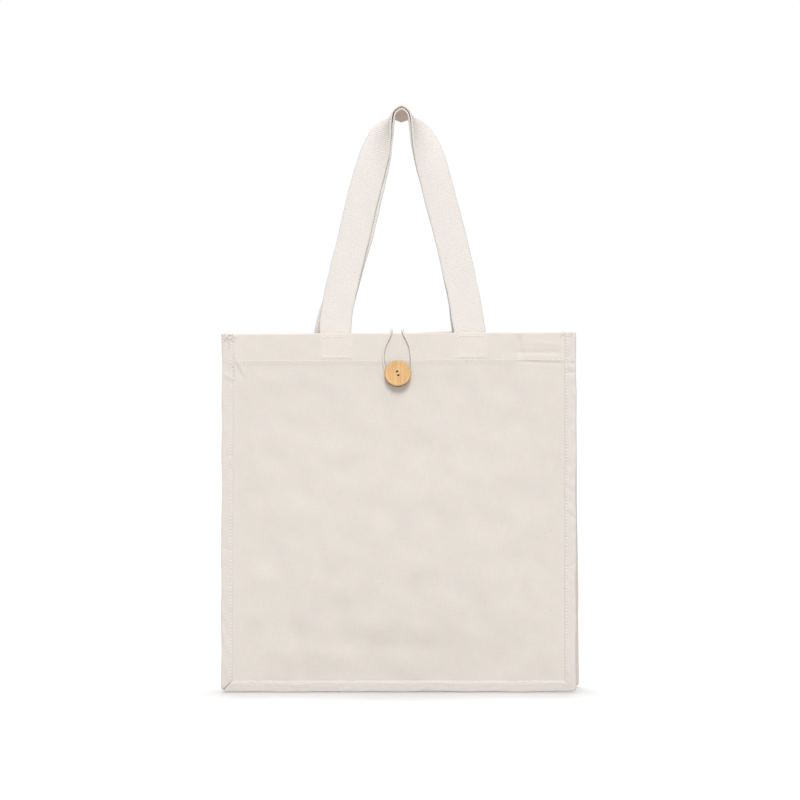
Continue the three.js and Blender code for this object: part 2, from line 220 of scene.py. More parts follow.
def thicken(middle: Array, cloth: Array, half: Array | float, relief: Array | float = 0.0) -> Surface:
    """A wall of cloth round its middle surface, closed at its rim by a rounded edge.

    Each face lies half a thickness, plus the relief, along the normal, which is the cross product
    of the grid's two directions. The edge bulges by most of half a thickness.

    Args:
        middle: Grid of points of the middle surface.
        cloth: Grid of cloth coordinates, across and along, in millimetres.
        half: Half the thickness, one number or a grid of them.
        relief: Added to both faces, for threads that stand out.

    Returns:
        The closed surface.
    """
    rows, columns = middle.shape[:2]
    normal = unit(np.cross(np.gradient(middle, axis=0), np.gradient(middle, axis=1)))
    reach = (np.zeros((rows, columns)) + half)[..., None]
    proud = (np.zeros((rows, columns)) + relief)[..., None]
    outward = np.zeros_like(middle)
    outward[0] += unit(middle[0] - middle[1])
    outward[-1] += unit(middle[-1] - middle[-2])
    outward[:, 0] += unit(middle[:, 0] - middle[:, 1])
    outward[:, -1] += unit(middle[:, -1] - middle[:, -2])
    loop = edge_loop(rows, columns)
    size = rows * columns
    edge = (middle + unit(outward) * reach * 0.8).reshape(size, 3)[loop]
    points = np.concatenate([
        (middle + normal * (reach + proud)).reshape(size, 3),
        (middle - normal * (reach + proud)).reshape(size, 3),
        edge,
    ])
    front = grid_quads(rows, columns)
    rim = 2 * size + np.arange(len(loop))
    after, rim_after = np.roll(loop, -1), np.roll(rim, -1)
    quads = np.concatenate([
        front,
        front[:, ::-1] + size,
        np.stack([after, loop, rim, rim_after], axis=1),
        np.stack([rim_after, rim, loop + size, after + size], axis=1),
    ])
    flat = cloth.reshape(size, 2)
    return Surface(points, quads, np.concatenate([flat, flat, flat[loop]])[quads])


def tube(line: Array, radius: Array | float, sides: int) -> Surface:
    """A round tube along a line, closed at both ends by a fan folded into quads.

    Args:
        line: Points of its middle line.
        radius: One number, or one for each point of the line.
        sides: An even number of sides.

    Returns:
        The closed surface, with its cloth coordinates round and along it.
    """
    tangent = unit(np.gradient(line, axis=0))
    guide = np.array([0.31, 0.87, 0.38])
    first = unit(np.cross(tangent, guide))
    second = np.cross(tangent, first)
    angle = np.arange(sides) * math.tau / sides
    reach = np.broadcast_to(np.asarray(radius, float), len(line))[:, None, None]
    ring = first[:, None] * np.cos(angle)[None, :, None] + second[:, None] * np.sin(angle)[None, :, None]
    points = (line[:, None] + ring * reach).reshape(-1, 3)
    quads = grid_quads(len(line), sides, closed=True)[:, ::-1]
    pairs = np.arange(sides // 2 - 1)
    cap = np.stack([pairs, pairs + 1, sides - 2 - pairs, sides - 1 - pairs], axis=1)
    quads = np.concatenate([quads, cap[:, ::-1], cap + (len(line) - 1) * sides])
    run = np.concatenate([[0], np.cumsum(np.linalg.norm(np.diff(line, axis=0), axis=1))])
    around = angle * float(np.mean(reach))
    cloth = np.stack(np.broadcast_arrays(around[None, :], run[:, None]), axis=-1).reshape(-1, 2)[quads]
    turn = math.tau * float(np.mean(reach))
    over = cloth[..., 0].max(axis=1, keepdims=True) - cloth[..., 0] > turn / 2
    cloth[..., 0] += np.where(over, turn, 0.0)
    return Surface(points, quads, cloth)


class Route:
    """A smooth line through chosen points, read at a distance along it.

    Between two points it is the cubic whose slopes are those of a centripetal Catmull-Rom curve:
    the knots lie apart by the square root of the distance between the points.
    """

    def __init__(self, points: Sequence[Sequence[float]], dense: int = 60) -> None:
        """Works the line out once.

        Args:
            points: The chosen points, in millimetres.
            dense: Number of samples between two of them.
        """
        chosen = np.asarray(points, float)
        ends = (2 * chosen[:1] - chosen[1:2], 2 * chosen[-1:] - chosen[-2:-1])
        padded = np.concatenate([ends[0], chosen, ends[1]])
        knot = np.sqrt(np.linalg.norm(np.diff(padded, axis=0), axis=1))[:, None]
        before, start, stop, after = padded[:-3], padded[1:-2], padded[2:-1], padded[3:]
        lead, span, trail = knot[:-2], knot[1:-1], knot[2:]
        leave = (start - before) / lead - (stop - before) / (lead + span) + (stop - start) / span
        arrive = (stop - start) / span - (after - start) / (span + trail) + (after - stop) / trail
        t = np.linspace(0, 1, dense, endpoint=False)[None, :, None]
        curve = (
            (2 * t**3 - 3 * t**2 + 1) * start[:, None]
            + (t**3 - 2 * t**2 + t) * (leave * span)[:, None]
            + (3 * t**2 - 2 * t**3) * stop[:, None]
            + (t**3 - t**2) * (arrive * span)[:, None]
        )
        self.line = np.concatenate([curve.reshape(-1, 3), chosen[-1:]])
        steps = np.linalg.norm(np.diff(self.line, axis=0), axis=1)
        self.run = np.concatenate([[0], np.cumsum(steps)])
        self.length = float(self.run[-1])

    def at(self, distance: Array) -> Array:
        """Points at distances along the line."""
        return np.stack([np.interp(distance, self.run, self.line[:, k]) for k in range(3)], axis=-1)

    def heading(self, distance: Array) -> Array:
        """Unit directions of the line at distances along it."""
        nudge = 0.4
        low = np.clip(distance - nudge, 0, self.length)
        high = np.clip(distance + nudge, 0, self.length)
        return unit(self.at(high) - self.at(low))


@dataclass(frozen=True)
class Stitch:
    """One kind of machine stitch, in millimetres."""

    pitch: float = 3.2
    length: float = 2.3
    width: float = 0.85
    height: float = 0.42

    def pace(self, length: float) -> float:
        """The distance between stitches when a whole number of them fills a row."""
        return length / max(1, int(length / self.pitch))

    def pinch(self, place: Array, start: float, stop: float) -> Array:
        """Reads 1 at each needle hole of a row from start to stop and 0 between them."""
        turns = (place - start) / self.pace(stop - start)
        return (0.5 + 0.5 * np.cos(math.tau * turns)) ** 2

    def row(self, line: Array, outward: Array) -> Surface:
        """Stitches laid along a line.

        Each is a grain whose half width is (1 - t^4) to the power 0.5 at the share t of half its
        length, with its two ends sunk into the cloth.

        Args:
            line: Points of the line on the cloth's face.
            outward: The direction that the face looks in, one for each point.

        Returns:
            All the stitches as one surface.
        """
        steps = np.linalg.norm(np.diff(line, axis=0), axis=1)
        run = np.concatenate([[0], np.cumsum(steps)])
        pace = self.pace(float(run[-1]))
        centre = np.arange(0.5, run[-1] / pace, 1.0) * pace
        count = len(centre)

        def read(place: Array, rows: Array) -> Array:
            """Rows given for the line's points, read at distances along it."""
            return np.stack([np.interp(place, run, rows[:, k]) for k in range(3)], axis=-1)

        middle = read(centre, line)
        along = unit(read(centre + 0.5, line) - read(centre - 0.5, line))
        up = unit(read(centre, outward))
        up = unit(up - along * np.sum(up * along, axis=1, keepdims=True))
        aside = np.cross(along, up)
        t = np.linspace(-0.97, 0.97, 6)[:, None]
        angle = (np.arange(6) * math.tau / 6)[None, :]
        thick = np.sqrt(1 - t**4)
        local = np.stack(np.broadcast_arrays(
            t * self.length / 2,
            np.cos(angle) * thick * self.width / 2,
            np.sin(angle) * thick * self.height + self.height * (0.55 - 1.1 * t**2),
        ), axis=-1).reshape(-1, 3)
        axes = np.stack([along, aside, up], axis=1)
        points = (middle[:, None] + np.einsum("pk,nkc->npc", local, axes)).reshape(-1, 3)
        one = grid_quads(6, 6, closed=True)
        cap = np.array([[0, 1, 4, 5], [1, 2, 3, 4]])
        one = np.concatenate([one, cap, cap[:, ::-1] + 30])
        quads = (one[None] + (np.arange(count) * 36)[:, None, None]).reshape(-1, 4)
        flat = np.tile(local[:, :2], (count, 1))
        return Surface(points, quads, flat[quads])


@dataclass(frozen=True)
class Dent:
    """A soft dent: middle and reach as shares of the panel, depth as a share of the deepest."""

    across: float
    down: float
    reach_across: float
    reach_down: float
    depth: float
    lean: float


@dataclass(frozen=True)
class Crease:
    """A line along which the cloth is lifted or sunk, in millimetres from the rim's middle."""

    start: tuple[float, float]
    stop: tuple[float, float]
    width: float
    height: float

    def lift(self, x: Array, down: Array) -> Array:
        """Height of the crease: a bell across the line that dies out at its two ends."""
        run = np.subtract(self.stop, self.start)
        length = math.hypot(*run)
        along = ((x - self.start[0]) * run[0] + (down - self.start[1]) * run[1]) / length**2
        aside = ((x - self.start[0]) * run[1] - (down - self.start[1]) * run[0]) / length
        ends = ramp(-0.15, 0.2, along) * (1 - ramp(0.8, 1.15, along))
        return self.height * ends * np.exp(-((aside / self.width) ** 2))


@dataclass(frozen=True)
class BagForm:
    """Shape of the cloth body: x to the right of the rim's middle, `down` below the rim."""

    width: float
    height: float
    rim_drop: float
    hang_offset: float
    mouth_depth: float = 14.0
    base_depth: float = 40.0
    gusset_width: float = 80.0
    gusset_fold: float = 1.6
    seam_width: float = 11.5
    allowance: float = 8.7
    wall: float = 1.0
    hem_height: float = 27.5
    hem_line: float = 26.6
    hem_inset: float = 12.0
    belly_depth: float = 5.0
    dent_depth: float = 3.0
    gap: float = 0.3
    back_drift: float = 6.2
    drift_power: float = 0.45
    flare: float = 0.4
    draw_in: float = 0.0045
    base_lift: float = 0.9
    rim_slope: float = 0.9

    @classmethod
    def from_frame(cls) -> BagForm:
        """Reads the outer sizes from the boxes of the frame's nodes."""
        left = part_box("front_binding_left")[0]
        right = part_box("front_binding_right")[1]
        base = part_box("front_binding_base")[0]
        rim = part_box("front_panel")[1]
        return cls(
            width=(right.x - left.x) / MM,
            height=(rim.z - base.z) / MM,
            rim_drop=-rim.z / MM,
            hang_offset=-(left.x + right.x) / 2 / MM,
        )

    @property
    def root_x(self) -> float:
        """Distance from the bag's middle to the root line of a side seam."""
        return self.width / 2 - self.seam_width

    @property
    def root_down(self) -> float:
        """Depth of the base seam's root line below the rim."""
        return self.height - self.seam_width

    @property
    def fade_length(self) -> float:
        """Length over which a strip turns into a corner."""
        return 0.95 * self.gusset_width

    def half_depth(self, down: Array) -> Array:
        """Half the distance between the panels at the side seams: a quarter sine down the bag."""
        share = np.clip(np.asarray(down, float) / self.root_down, 0, 1)
        return (self.mouth_depth + (self.base_depth - self.mouth_depth) * np.sin(share * np.pi / 2)) / 2

    def swell(self, x: Array, down: Array, dents: Sequence[Dent]) -> Array:
        """How far a panel stands out beyond its seams: a broad belly and the dents of its table."""
        across = np.clip(x / self.root_x, -1, 1)
        share = down / self.root_down
        hem2 = 2 * self.hem_height
        along = np.clip((down - hem2) / (self.root_down - hem2), 0, 1)
        height = self.belly_depth * (1 - across**2) * np.sin(np.pi * along**1.3)
        for dent in dents:
            lean = math.radians(dent.lean)
            dx, dy = across - dent.across, share - dent.down
            u = (dx * math.cos(lean) + dy * math.sin(lean)) / dent.reach_across
            v = (dy * math.cos(lean) - dx * math.sin(lean)) / dent.reach_down
            bell = np.exp(-(u * u + v * v)) * np.sqrt(1 - across**2)
            height = height + self.dent_depth * dent.depth * bell
        hanging = np.clip(down / hem2, 0, 1) * np.clip((self.root_down - down) / self.hem_height, 0, 1)
        return height * hanging

    def hung(self, points: Array) -> Array:
        """Points of the body as it hangs, moved from the rim's middle to the hang point.

        The base flares a little to the right, and the rear of the bag drifts to the right towards
        its base, in step with its depth. The lower part is drawn in and up by under a millimetre,
        and the rim rises by as much from its middle to the right.

        Args:
            points: Points from the rim's middle.

        Returns:
            The same points from the hang point.
        """
        x, y, z = points[:, 0], points[:, 1], points[:, 2]
        share = np.clip(-z / self.height, 0, 1)
        rearward = (y + self.base_depth / 2) / self.base_depth
        drift = self.back_drift * np.clip(rearward, 0, 1) * share**self.drift_power
        flare = self.flare * np.clip(2 * x / self.width, 0, 1) * share
        x_in = x * (1 - self.draw_in * ramp(0, 0.5, share))
        lift = self.base_lift * share**2 + self.rim_slope * 2 * x / self.width * (1 - ramp(0, 0.4, share))
        return np.stack([x_in + drift + flare - self.hang_offset, y, z + lift - self.rim_drop], axis=1)


class Nodes:
    """A material's or group's node tree, with short ways to add to it."""

    def __init__(self, tree: bpy.types.NodeTree) -> None:
        """Keeps the tree.

        Args:
            tree: An empty node tree.
        """
        self.tree = tree

    def add(self, kind: str, inputs: dict | None = None, **settings: object) -> bpy.types.Node:
        """Adds a node.

        Args:
            kind: The node's type, without the word ShaderNode.
            inputs: Values or sockets for its inputs, by name or number.
            settings: Its own properties.

        Returns:
            The new node.
        """
        node = self.tree.nodes.new(f"ShaderNode{kind}")
        for name, value in settings.items():
            setattr(node, name, value)
        for name, value in (inputs or {}).items():
            if isinstance(value, bpy.types.NodeSocket):
                self.tree.links.new(value, node.inputs[name])
            else:
                node.inputs[name].default_value = value
        return node

    def sum(self, operation: str, *terms: object) -> bpy.types.NodeSocket:
        """The result of a Math node over one to three terms, each a number or a socket."""
        return self.add("Math", dict(enumerate(terms)), operation=operation).outputs[0]

    def noise(self, vector: object, scale: Colour, detail: float) -> bpy.types.NodeSocket:
        """Noise of 0 to 1 on coordinates in metres, with its own scale on each axis."""
        spread = self.add("VectorMath", {0: vector, 1: scale}, operation="MULTIPLY")
        inputs = {"Vector": spread.outputs[0], "Scale": 1.0, "Detail": detail}
        return self.add("TexNoise", inputs).outputs[0]

    def mix(self, share: object, first: object, second: object) -> bpy.types.NodeSocket:
        """One colour mixed with another by a share of 0 to 1."""
        return self.add("Mix", {0: share, 6: first, 7: second}, data_type="RGBA").outputs[2]

    def by_ray(self, cast: bpy.types.Node, seen: bpy.types.Node) -> bpy.types.NodeSocket:
        """The shader `seen` for rays from the camera, and `cast` for the light thrown back."""
        path = self.add("LightPath").outputs["Is Camera Ray"]
        return self.add("MixShader", {0: path, 1: cast.outputs[0], 2: seen.outputs[0]}).outputs[0]


def blank(owner: bpy.types.Material | bpy.types.World) -> Nodes:
    """The node tree of a material or of the world, emptied."""
    owner.use_nodes = True
    owner.node_tree.nodes.clear()
    return Nodes(owner.node_tree)


class Weaves:
    """The shader groups that the cloth finishes share, each built once."""

    def __init__(self) -> None:
        """Builds the groups."""
        self.plain = self.plain_weave()
        self.tone = self.cotton_tone()

    @staticmethod
    def group(name: str, inputs: dict, outputs: Sequence[str]) -> tuple[Nodes, dict, object]:
        """A new shader group with named float inputs and outputs and a Vector input.

        Args:
            name: The group's name.
            inputs: The float inputs and their usual values.
            outputs: Names of the float outputs.

        Returns:
            The nodes, the input sockets by name, and the group's output node.
        """
        tree = bpy.data.node_groups.new(name, "ShaderNodeTree")
        tree.interface.new_socket("Vector", in_out="INPUT", socket_type="NodeSocketVector")
        for key, value in inputs.items():
            socket = tree.interface.new_socket(key, in_out="INPUT", socket_type="NodeSocketFloat")
            socket.default_value = value
        for key in outputs:
            tree.interface.new_socket(key, in_out="OUTPUT", socket_type="NodeSocketFloat")
        entry = tree.nodes.new("NodeGroupInput")
        leave = tree.nodes.new("NodeGroupOutput")
        return Nodes(tree), {socket.name: socket for socket in entry.outputs}, leave

    def plain_weave(self) -> bpy.types.NodeTree:
        """Height of a plain weave: warp and weft yarns that cross over and under by turns.

        With u and v counted in yarns, a warp yarn's height is |sin(pi u)| plus 0.6 times
        cos(pi (v - 0.5) + pi floor(u)), a weft yarn's is the same with u and v changed over and
        the cosine taken away, and the higher of the two is seen.

        Returns:
            The group.
        """
        nodes, given, leave = self.group("plain_weave", {"Across": 0.001, "Along": 0.001}, ["Height"])
        place = nodes.add("SeparateXYZ", {0: given["Vector"]}).outputs
        u = nodes.sum("DIVIDE", place[0], given["Across"])
        v = nodes.sum("DIVIDE", place[1], given["Along"])

        def yarn(own: object, other: object, sign: float) -> bpy.types.NodeSocket:
            """Height of the yarns counted by `own`, which run along `other`."""
            crown = nodes.sum("ABSOLUTE", nodes.sum("SINE", nodes.sum("MULTIPLY", own, math.pi)))
            shift = nodes.sum("ADD", nodes.sum("FLOOR", own), nodes.sum("SUBTRACT", other, 0.5))
            rise = nodes.sum("COSINE", nodes.sum("MULTIPLY", shift, math.pi))
            return nodes.sum("MULTIPLY_ADD", rise, 0.6 * sign, crown)

        higher = nodes.sum("MAXIMUM", yarn(u, v, 1.0), yarn(v, u, -1.0))
        nodes.tree.links.new(higher, leave.inputs["Height"])
        return nodes.tree

    def cotton_tone(self) -> bpy.types.NodeTree:
        """Uneven tone of natural cotton: slubs along both yarns, a broad mottle and dark flecks.

        Returns:
            The group. Shade multiplies the colour, Tint is its lean to pink, Fleck is 1 on a fleck.
        """
        wants = {"Slub": 0.05, "Mottle": 0.02, "Fleck Share": 0.05, "Fleck Size": 0.05}
        nodes, given, leave = self.group("cotton_tone", wants, ["Shade", "Tint", "Fleck"])
        place = given["Vector"]
        warp = nodes.noise(place, (1400.0, 90.0, 1.0), 2.0)
        weft = nodes.noise(place, (90.0, 1400.0, 1.0), 2.0)
        slub = nodes.sum("SUBTRACT", nodes.sum("ADD", warp, weft), 1.0)
        broad = nodes.sum("SUBTRACT", nodes.noise(place, (16.0, 16.0, 1.0), 3.0), 0.5)
        shade = nodes.sum("MULTIPLY_ADD", slub, given["Slub"], 1.0)
        shade = nodes.sum("MULTIPLY_ADD", broad, given["Mottle"], shade)
        nodes.tree.links.new(shade, leave.inputs["Shade"])
        lean = nodes.add("MapRange", {0: nodes.noise(place, (60.0, 60.0, 1.0), 2.0), 1: 0.4, 2: 0.6})
        nodes.tree.links.new(lean.outputs[0], leave.inputs["Tint"])
        cells = nodes.add("TexVoronoi", {"Vector": place, "Scale": 120.0})
        chosen = nodes.add("SeparateColor", {0: cells.outputs["Color"]}).outputs[0]
        near = nodes.sum("LESS_THAN", cells.outputs["Distance"], given["Fleck Size"])
        fleck = nodes.sum("MULTIPLY", near, nodes.sum("LESS_THAN", chosen, given["Fleck Share"]))
        nodes.tree.links.new(fleck, leave.inputs["Fleck"])
        return nodes.tree


@dataclass(frozen=True)
class ClothFinish:
    """A woven cotton finish: its colour, its yarns and how uneven it is."""

    name: str
    slot: str
    colour: Colour
    fleck_colour: Colour = (0.47, 0.38, 0.29)
    tint: Colour = (1.008, 0.991, 0.998)
    yarn_across: float = 0.00062
    yarn_along: float = 0.00068
    relief: float = 0.00009
    slub: float = 0.1
    mottle: float = 0.05
    fleck_share: float = 0.06
    fleck_size: float = 0.05
    roughness: float = 0.95
    turn: float = 0.0
    backing_lift_and_painted_shade: float = 0.0
    painted_shade: Colour | None = None

    def material(self, weaves: Weaves) -> bpy.types.Material:
        """The finish as a material on the piece's own cloth coordinates.

        The piece's mask, times a gain, is added to the shade: on the canvas it lightens cloth that
        lies on further layers, and on the elastic it is painted shade on the side towards the loop's
        inside. Where a colour of painted shade is given, the mask also mixes it in, as painted shade
        on the handles' underside near the arch.

        Args:
            weaves: The shared shader groups.

        Returns:
            The new material.
        """
        material = bpy.data.materials.new(self.name)
        nodes = blank(material)
        cloth = nodes.add("UVMap", uv_map="cloth").outputs[0]
        turned = nodes.add("Mapping", {0: cloth, 2: (0.0, 0.0, self.turn)}).outputs[0]
        sizes = {"Vector": turned, "Across": self.yarn_across, "Along": self.yarn_along}
        height = nodes.add("Group", sizes, node_tree=weaves.plain).outputs["Height"]
        wants = {
            "Vector": turned, "Slub": self.slub, "Mottle": self.mottle,
            "Fleck Share": self.fleck_share, "Fleck Size": self.fleck_size,
        }
        tone = nodes.add("Group", wants, node_tree=weaves.tone)
        shade = tone.outputs["Shade"]
        if self.backing_lift_and_painted_shade or self.painted_shade:
            behind = nodes.add("Attribute", attribute_name="backing_and_painted_shade").outputs["Fac"]
        # The mask's gain: lighter cloth where layers lie behind, painted shade where the mask is negative.
        if self.backing_lift_and_painted_shade:
            shade = nodes.sum("MULTIPLY_ADD", behind, self.backing_lift_and_painted_shade, shade)
        base = nodes.add("VectorMath", {0: self.colour, "Scale": shade}, operation="SCALE")
        tint = nodes.add("VectorMath", {0: base.outputs[0], 1: self.tint}, operation="MULTIPLY")
        mottled = nodes.mix(tone.outputs["Tint"], base.outputs[0], tint.outputs[0])
        # Painted shade: a brown colour mixed in where the mask is set, on the handles' underside near the
        # arch.
        if self.painted_shade:
            mottled = nodes.mix(behind, mottled, (*self.painted_shade, 1.0))
        colour = nodes.mix(tone.outputs["Fleck"], mottled, (*self.fleck_colour, 1.0))
        bump = nodes.add("Bump", {"Strength": 0.6, "Distance": self.relief, "Height": height})
        shader = nodes.add("BsdfPrincipled", {
            "Base Color": colour, "Roughness": self.roughness, "Normal": bump.outputs[0],
            "Specular IOR Level": 0.2,
        })
        nodes.add("OutputMaterial", {0: shader.outputs[0]})
        return material


@dataclass(frozen=True)
class BambooFinish:
    """Bamboo cut along the grain: straight fibres with darker streaks."""

    name: str = "bamboo"
    slot: str = "bamboo"
    pale: Colour = (0.8, 0.495, 0.2)
    dark: Colour = (0.55, 0.27, 0.072)
    # Painted shade: the dark brown at the rim and round the holes.
    painted_edge_shade: Colour = (0.17, 0.075, 0.03)
    roughness: float = 0.5

    def material(self) -> bpy.types.Material:
        """The button's material on its face coordinates, with painted shade in dark brown at rim and holes.
        """
        material = bpy.data.materials.new(self.name)
        nodes = blank(material)
        place = nodes.add("UVMap", uv_map="cloth").outputs[0]
        fibres = nodes.noise(place, (2600.0, 110.0, 1.0), 3.0)
        streaks = nodes.noise(place, (520.0, 30.0, 1.0), 2.0)
        pores = nodes.noise(place, (1500.0, 420.0, 1.0), 1.0)
        both = nodes.sum("MULTIPLY_ADD", fibres, 0.4, nodes.sum("MULTIPLY", streaks, 0.4))
        both = nodes.sum("MULTIPLY_ADD", pores, 0.2, both)
        share = nodes.add("MapRange", {0: both, 1: 0.4, 2: 0.66}).outputs[0]
        grain = nodes.mix(share, (*self.pale, 1.0), (*self.dark, 1.0))
        # Painted shade: the mask darkens the rim and the holes' edges to dark brown.
        where = nodes.add("Attribute", attribute_name="backing_and_painted_shade").outputs["Fac"]
        colour = nodes.mix(where, grain, (*self.painted_edge_shade, 1.0))
        bump = nodes.add("Bump", {"Strength": 0.4, "Distance": 0.0001, "Height": fibres})
        shader = nodes.add("BsdfPrincipled", {
            "Base Color": colour, "Roughness": self.roughness, "Normal": bump.outputs[0],
        })
        nodes.add("OutputMaterial", {0: shader.outputs[0]})
        return material


CANVAS = ClothFinish("canvas", "canvas", (0.784, 0.73, 0.667), backing_lift_and_painted_shade=0.055)
BINDING = ClothFinish("binding_tape", "binding", (0.786, 0.73, 0.68), fleck_share=0.03)
# The webbing's brown colour is painted shade, mixed into the handles' underside near the arch.
WEBBING = ClothFinish(
    "cotton_webbing", "webbing", (0.868, 0.824, 0.774), yarn_across=0.0011, yarn_along=0.002,
    relief=0.00025, slub=0.06, mottle=0.05, fleck_share=0.15, roughness=0.9, painted_shade=(0.78, 0.65, 0.57),
)
# The elastic's gain paints shade on the cord's inner side, up to 40 per cent darker.
ELASTIC = ClothFinish(
    "braided_elastic", "elastic", (0.84, 0.78, 0.71), yarn_across=0.0005, yarn_along=0.0005,
    fleck_share=0.0, roughness=0.8, turn=math.pi / 4, backing_lift_and_painted_shade=0.4,
)
SEWING = ClothFinish(
    "sewing_thread", "thread", (0.93, 0.89, 0.84), yarn_across=0.0004, yarn_along=0.0004,
    relief=0.00005, fleck_share=0.0, roughness=0.8, turn=0.6,
)
BUTTON_THREAD = ClothFinish(
    "button_thread", "thread", (0.86, 0.72, 0.66), yarn_across=0.0004, yarn_along=0.0004,
    relief=0.00005, fleck_share=0.0, roughness=0.8, turn=0.6,
)
BAMBOO = BambooFinish()


class Wardrobe:
    """The materials, each made once from its finish."""

    def __init__(self) -> None:
        """Makes the shared groups and an empty store."""
        self.weaves = Weaves()
        self.made: dict[str, bpy.types.Material] = {}

    def dress(self, piece: bpy.types.Object, finish: ClothFinish | BambooFinish) -> None:
        """Gives a piece its material.

        Args:
            piece: The piece's object.
            finish: The finish that it takes.
        """
        if finish.name not in self.made:
            cloth = isinstance(finish, ClothFinish)
            self.made[finish.name] = finish.material(self.weaves) if cloth else finish.material()
        piece.data.materials.append(self.made[finish.name])


def write_piece(name: str, surface: Surface, nodes: Sequence[str] = ()) -> bpy.types.Object:
    """Makes a piece of a surface whose points are measured from the hang point.

    Args:
        name: The piece's name.
        surface: Its mesh, in millimetres.
        nodes: The frame's nodes that it stands for.

    Returns:
        The object, riding on the bag's one body.
    """
    a, b, c, d = (surface.points[surface.quads[:, k]] for k in range(4))
    volume = float(np.sum(a * (np.cross(b, c) + np.cross(c, d))) / 6)
    turned = volume < 0
    quads = surface.quads[:, ::-1] if turned else surface.quads
    cloth = surface.cloth[:, ::-1] if turned else surface.cloth
    mesh = bpy.data.meshes.new(name)
    mesh.from_pydata((surface.points * MM).tolist(), [], quads.tolist())
    layer = mesh.uv_layers.new(name="cloth")
    layer.data.foreach_set("uv", (cloth * MM).ravel())
    if surface.backing_and_painted_shade is not None:
        behind = mesh.attributes.new("backing_and_painted_shade", "FLOAT", "POINT")
        behind.data.foreach_set("value", surface.backing_and_painted_shade)
    mesh.polygons.foreach_set("use_smooth", np.ones(len(mesh.polygons), bool))
    mesh.update()
    piece = bpy.data.objects.new(name, mesh)
    bpy.context.scene.collection.objects.link(piece)
    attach(piece, BODY)
    if nodes:
        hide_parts(*nodes)
    log.info("%s: %d points, %d faces", name, len(mesh.vertices), len(mesh.polygons))
    return piece


@dataclass
class Studio:
    """The camera at the photograph's place, a pale floor and soft light."""

    pixel: float = 0.986
    side: int = 800
    hang_column: float = 402.6
    hang_row: float = 115.0
    distance: float = 2000.0
    panel_y: float = -10.0
    sensor: float = 36.0
    floor_gap: float = -0.5
    ambient: float = 0.4
    key: float = 1.75
    fill: float = 0.6
    overhead: float = 0.6
    rear: float = 1.3
    contact: float = 1.6
    wash: float = 1.66
    bounce: float = 0.4
    floor_white: float = 0.72

    def place_camera(self) -> None:
        """Puts the camera level with the middle of the picture, looking along +Y."""
        data = bpy.data.cameras.new("camera")
        data.sensor_width = self.sensor
        data.lens = self.sensor * self.distance / (self.side * self.pixel)
        data.clip_end = 50.0
        camera = bpy.data.objects.new("camera", data)
        middle = self.side / 2
        camera.location = Vector((
            (middle - self.hang_column) * self.pixel,
            self.panel_y - self.distance,
            (self.hang_row - middle) * self.pixel,
        )) * MM
        camera.rotation_euler = (math.pi / 2, 0, 0)
        bpy.context.scene.collection.objects.link(camera)
        bpy.context.scene.camera = camera

    def lay_floor(self) -> None:
        """A wide pale floor just under the bag."""
        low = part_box("front_binding_base")[0].z - self.floor_gap * MM
        reach = 8.0
        corners = [(-reach, -reach, low), (reach, -reach, low), (reach, reach, low), (-reach, reach, low)]
        mesh = bpy.data.meshes.new("floor")
        mesh.from_pydata(corners, [], [(0, 1, 2, 3)])
        floor = bpy.data.objects.new("floor", mesh)
        mesh.materials.append(self.floor_paint())
        bpy.context.scene.collection.objects.link(floor)

    def floor_paint(self) -> bpy.types.Material:
        """White paint that throws less light back at the bag than it shows."""
        material = bpy.data.materials.new("floor")
        nodes = blank(material)
        plain = {"Roughness": 0.9, "Specular IOR Level": 0.0}
        seen, cast = (
            nodes.add("BsdfPrincipled", {**plain, "Base Color": (tone, tone, tone, 1.0)})
            for tone in (self.floor_white, self.bounce)
        )
        nodes.add("OutputMaterial", {0: nodes.by_ray(cast, seen)})
        return material

    def light(self) -> None:
        """White surroundings, soft suns for the bag, and two for the floor, one of them shadowless."""
        scene = bpy.context.scene
        scene.view_settings.view_transform = "Standard"
        world = bpy.data.worlds.new("studio")
        scene.world = world
        nodes = blank(world)
        seen, cast = (
            nodes.add("Background", {0: (1.0, 1.0, 1.0, 1.0), 1: strength})
            for strength in (1.0, self.ambient)
        )
        nodes.add("OutputWorld", {0: nodes.by_ray(cast, seen)})
        bag, ground = (bpy.data.collections.new(name) for name in ("bag_light", "floor_light"))
        for piece in scene.objects:
            if piece.type == "MESH":
                (ground if piece.name == "floor" else bag).objects.link(piece)
        self.sun("key", (0.05, -0.73, 0.67), self.key, 24.0, bag)
        self.sun("fill", (0.0, -1.0, 0.1), self.fill, 80.0, bag)
        self.sun("overhead", (0.0, 0.1, 0.995), self.overhead, 30.0, bag)
        self.sun("rear", (-0.3, 0.85, 0.43), self.rear, 40.0, bag)
        self.sun("contact", (0.0, 0.13, 0.99), self.contact, 12.0, ground)
        self.sun("wash", (0.0, 0.0, 1.0), self.wash, 10.0, ground).use_shadow = False

    @staticmethod
    def sun(
        name: str, toward: Colour, strength: float, width: float, lit: bpy.types.Collection,
    ) -> bpy.types.Light:
        """Adds a sun.

        Args:
            name: Its name.
            toward: The direction from the bag to the sun.
            strength: Light that falls on a surface that faces it, in watts a square metre.
            width: The angle that its disc spans, in degrees.
            lit: The objects that receive its light.

        Returns:
            The sun's data.
        """
        data = bpy.data.lights.new(name, "SUN")
        data.energy, data.angle = strength, math.radians(width)
        lamp = bpy.data.objects.new(name, data)
        lamp.rotation_euler = Vector(toward).to_track_quat("Z", "Y").to_euler()
        bpy.context.scene.collection.objects.link(lamp)
        lamp.light_linking.receiver_collection = lit
        return data


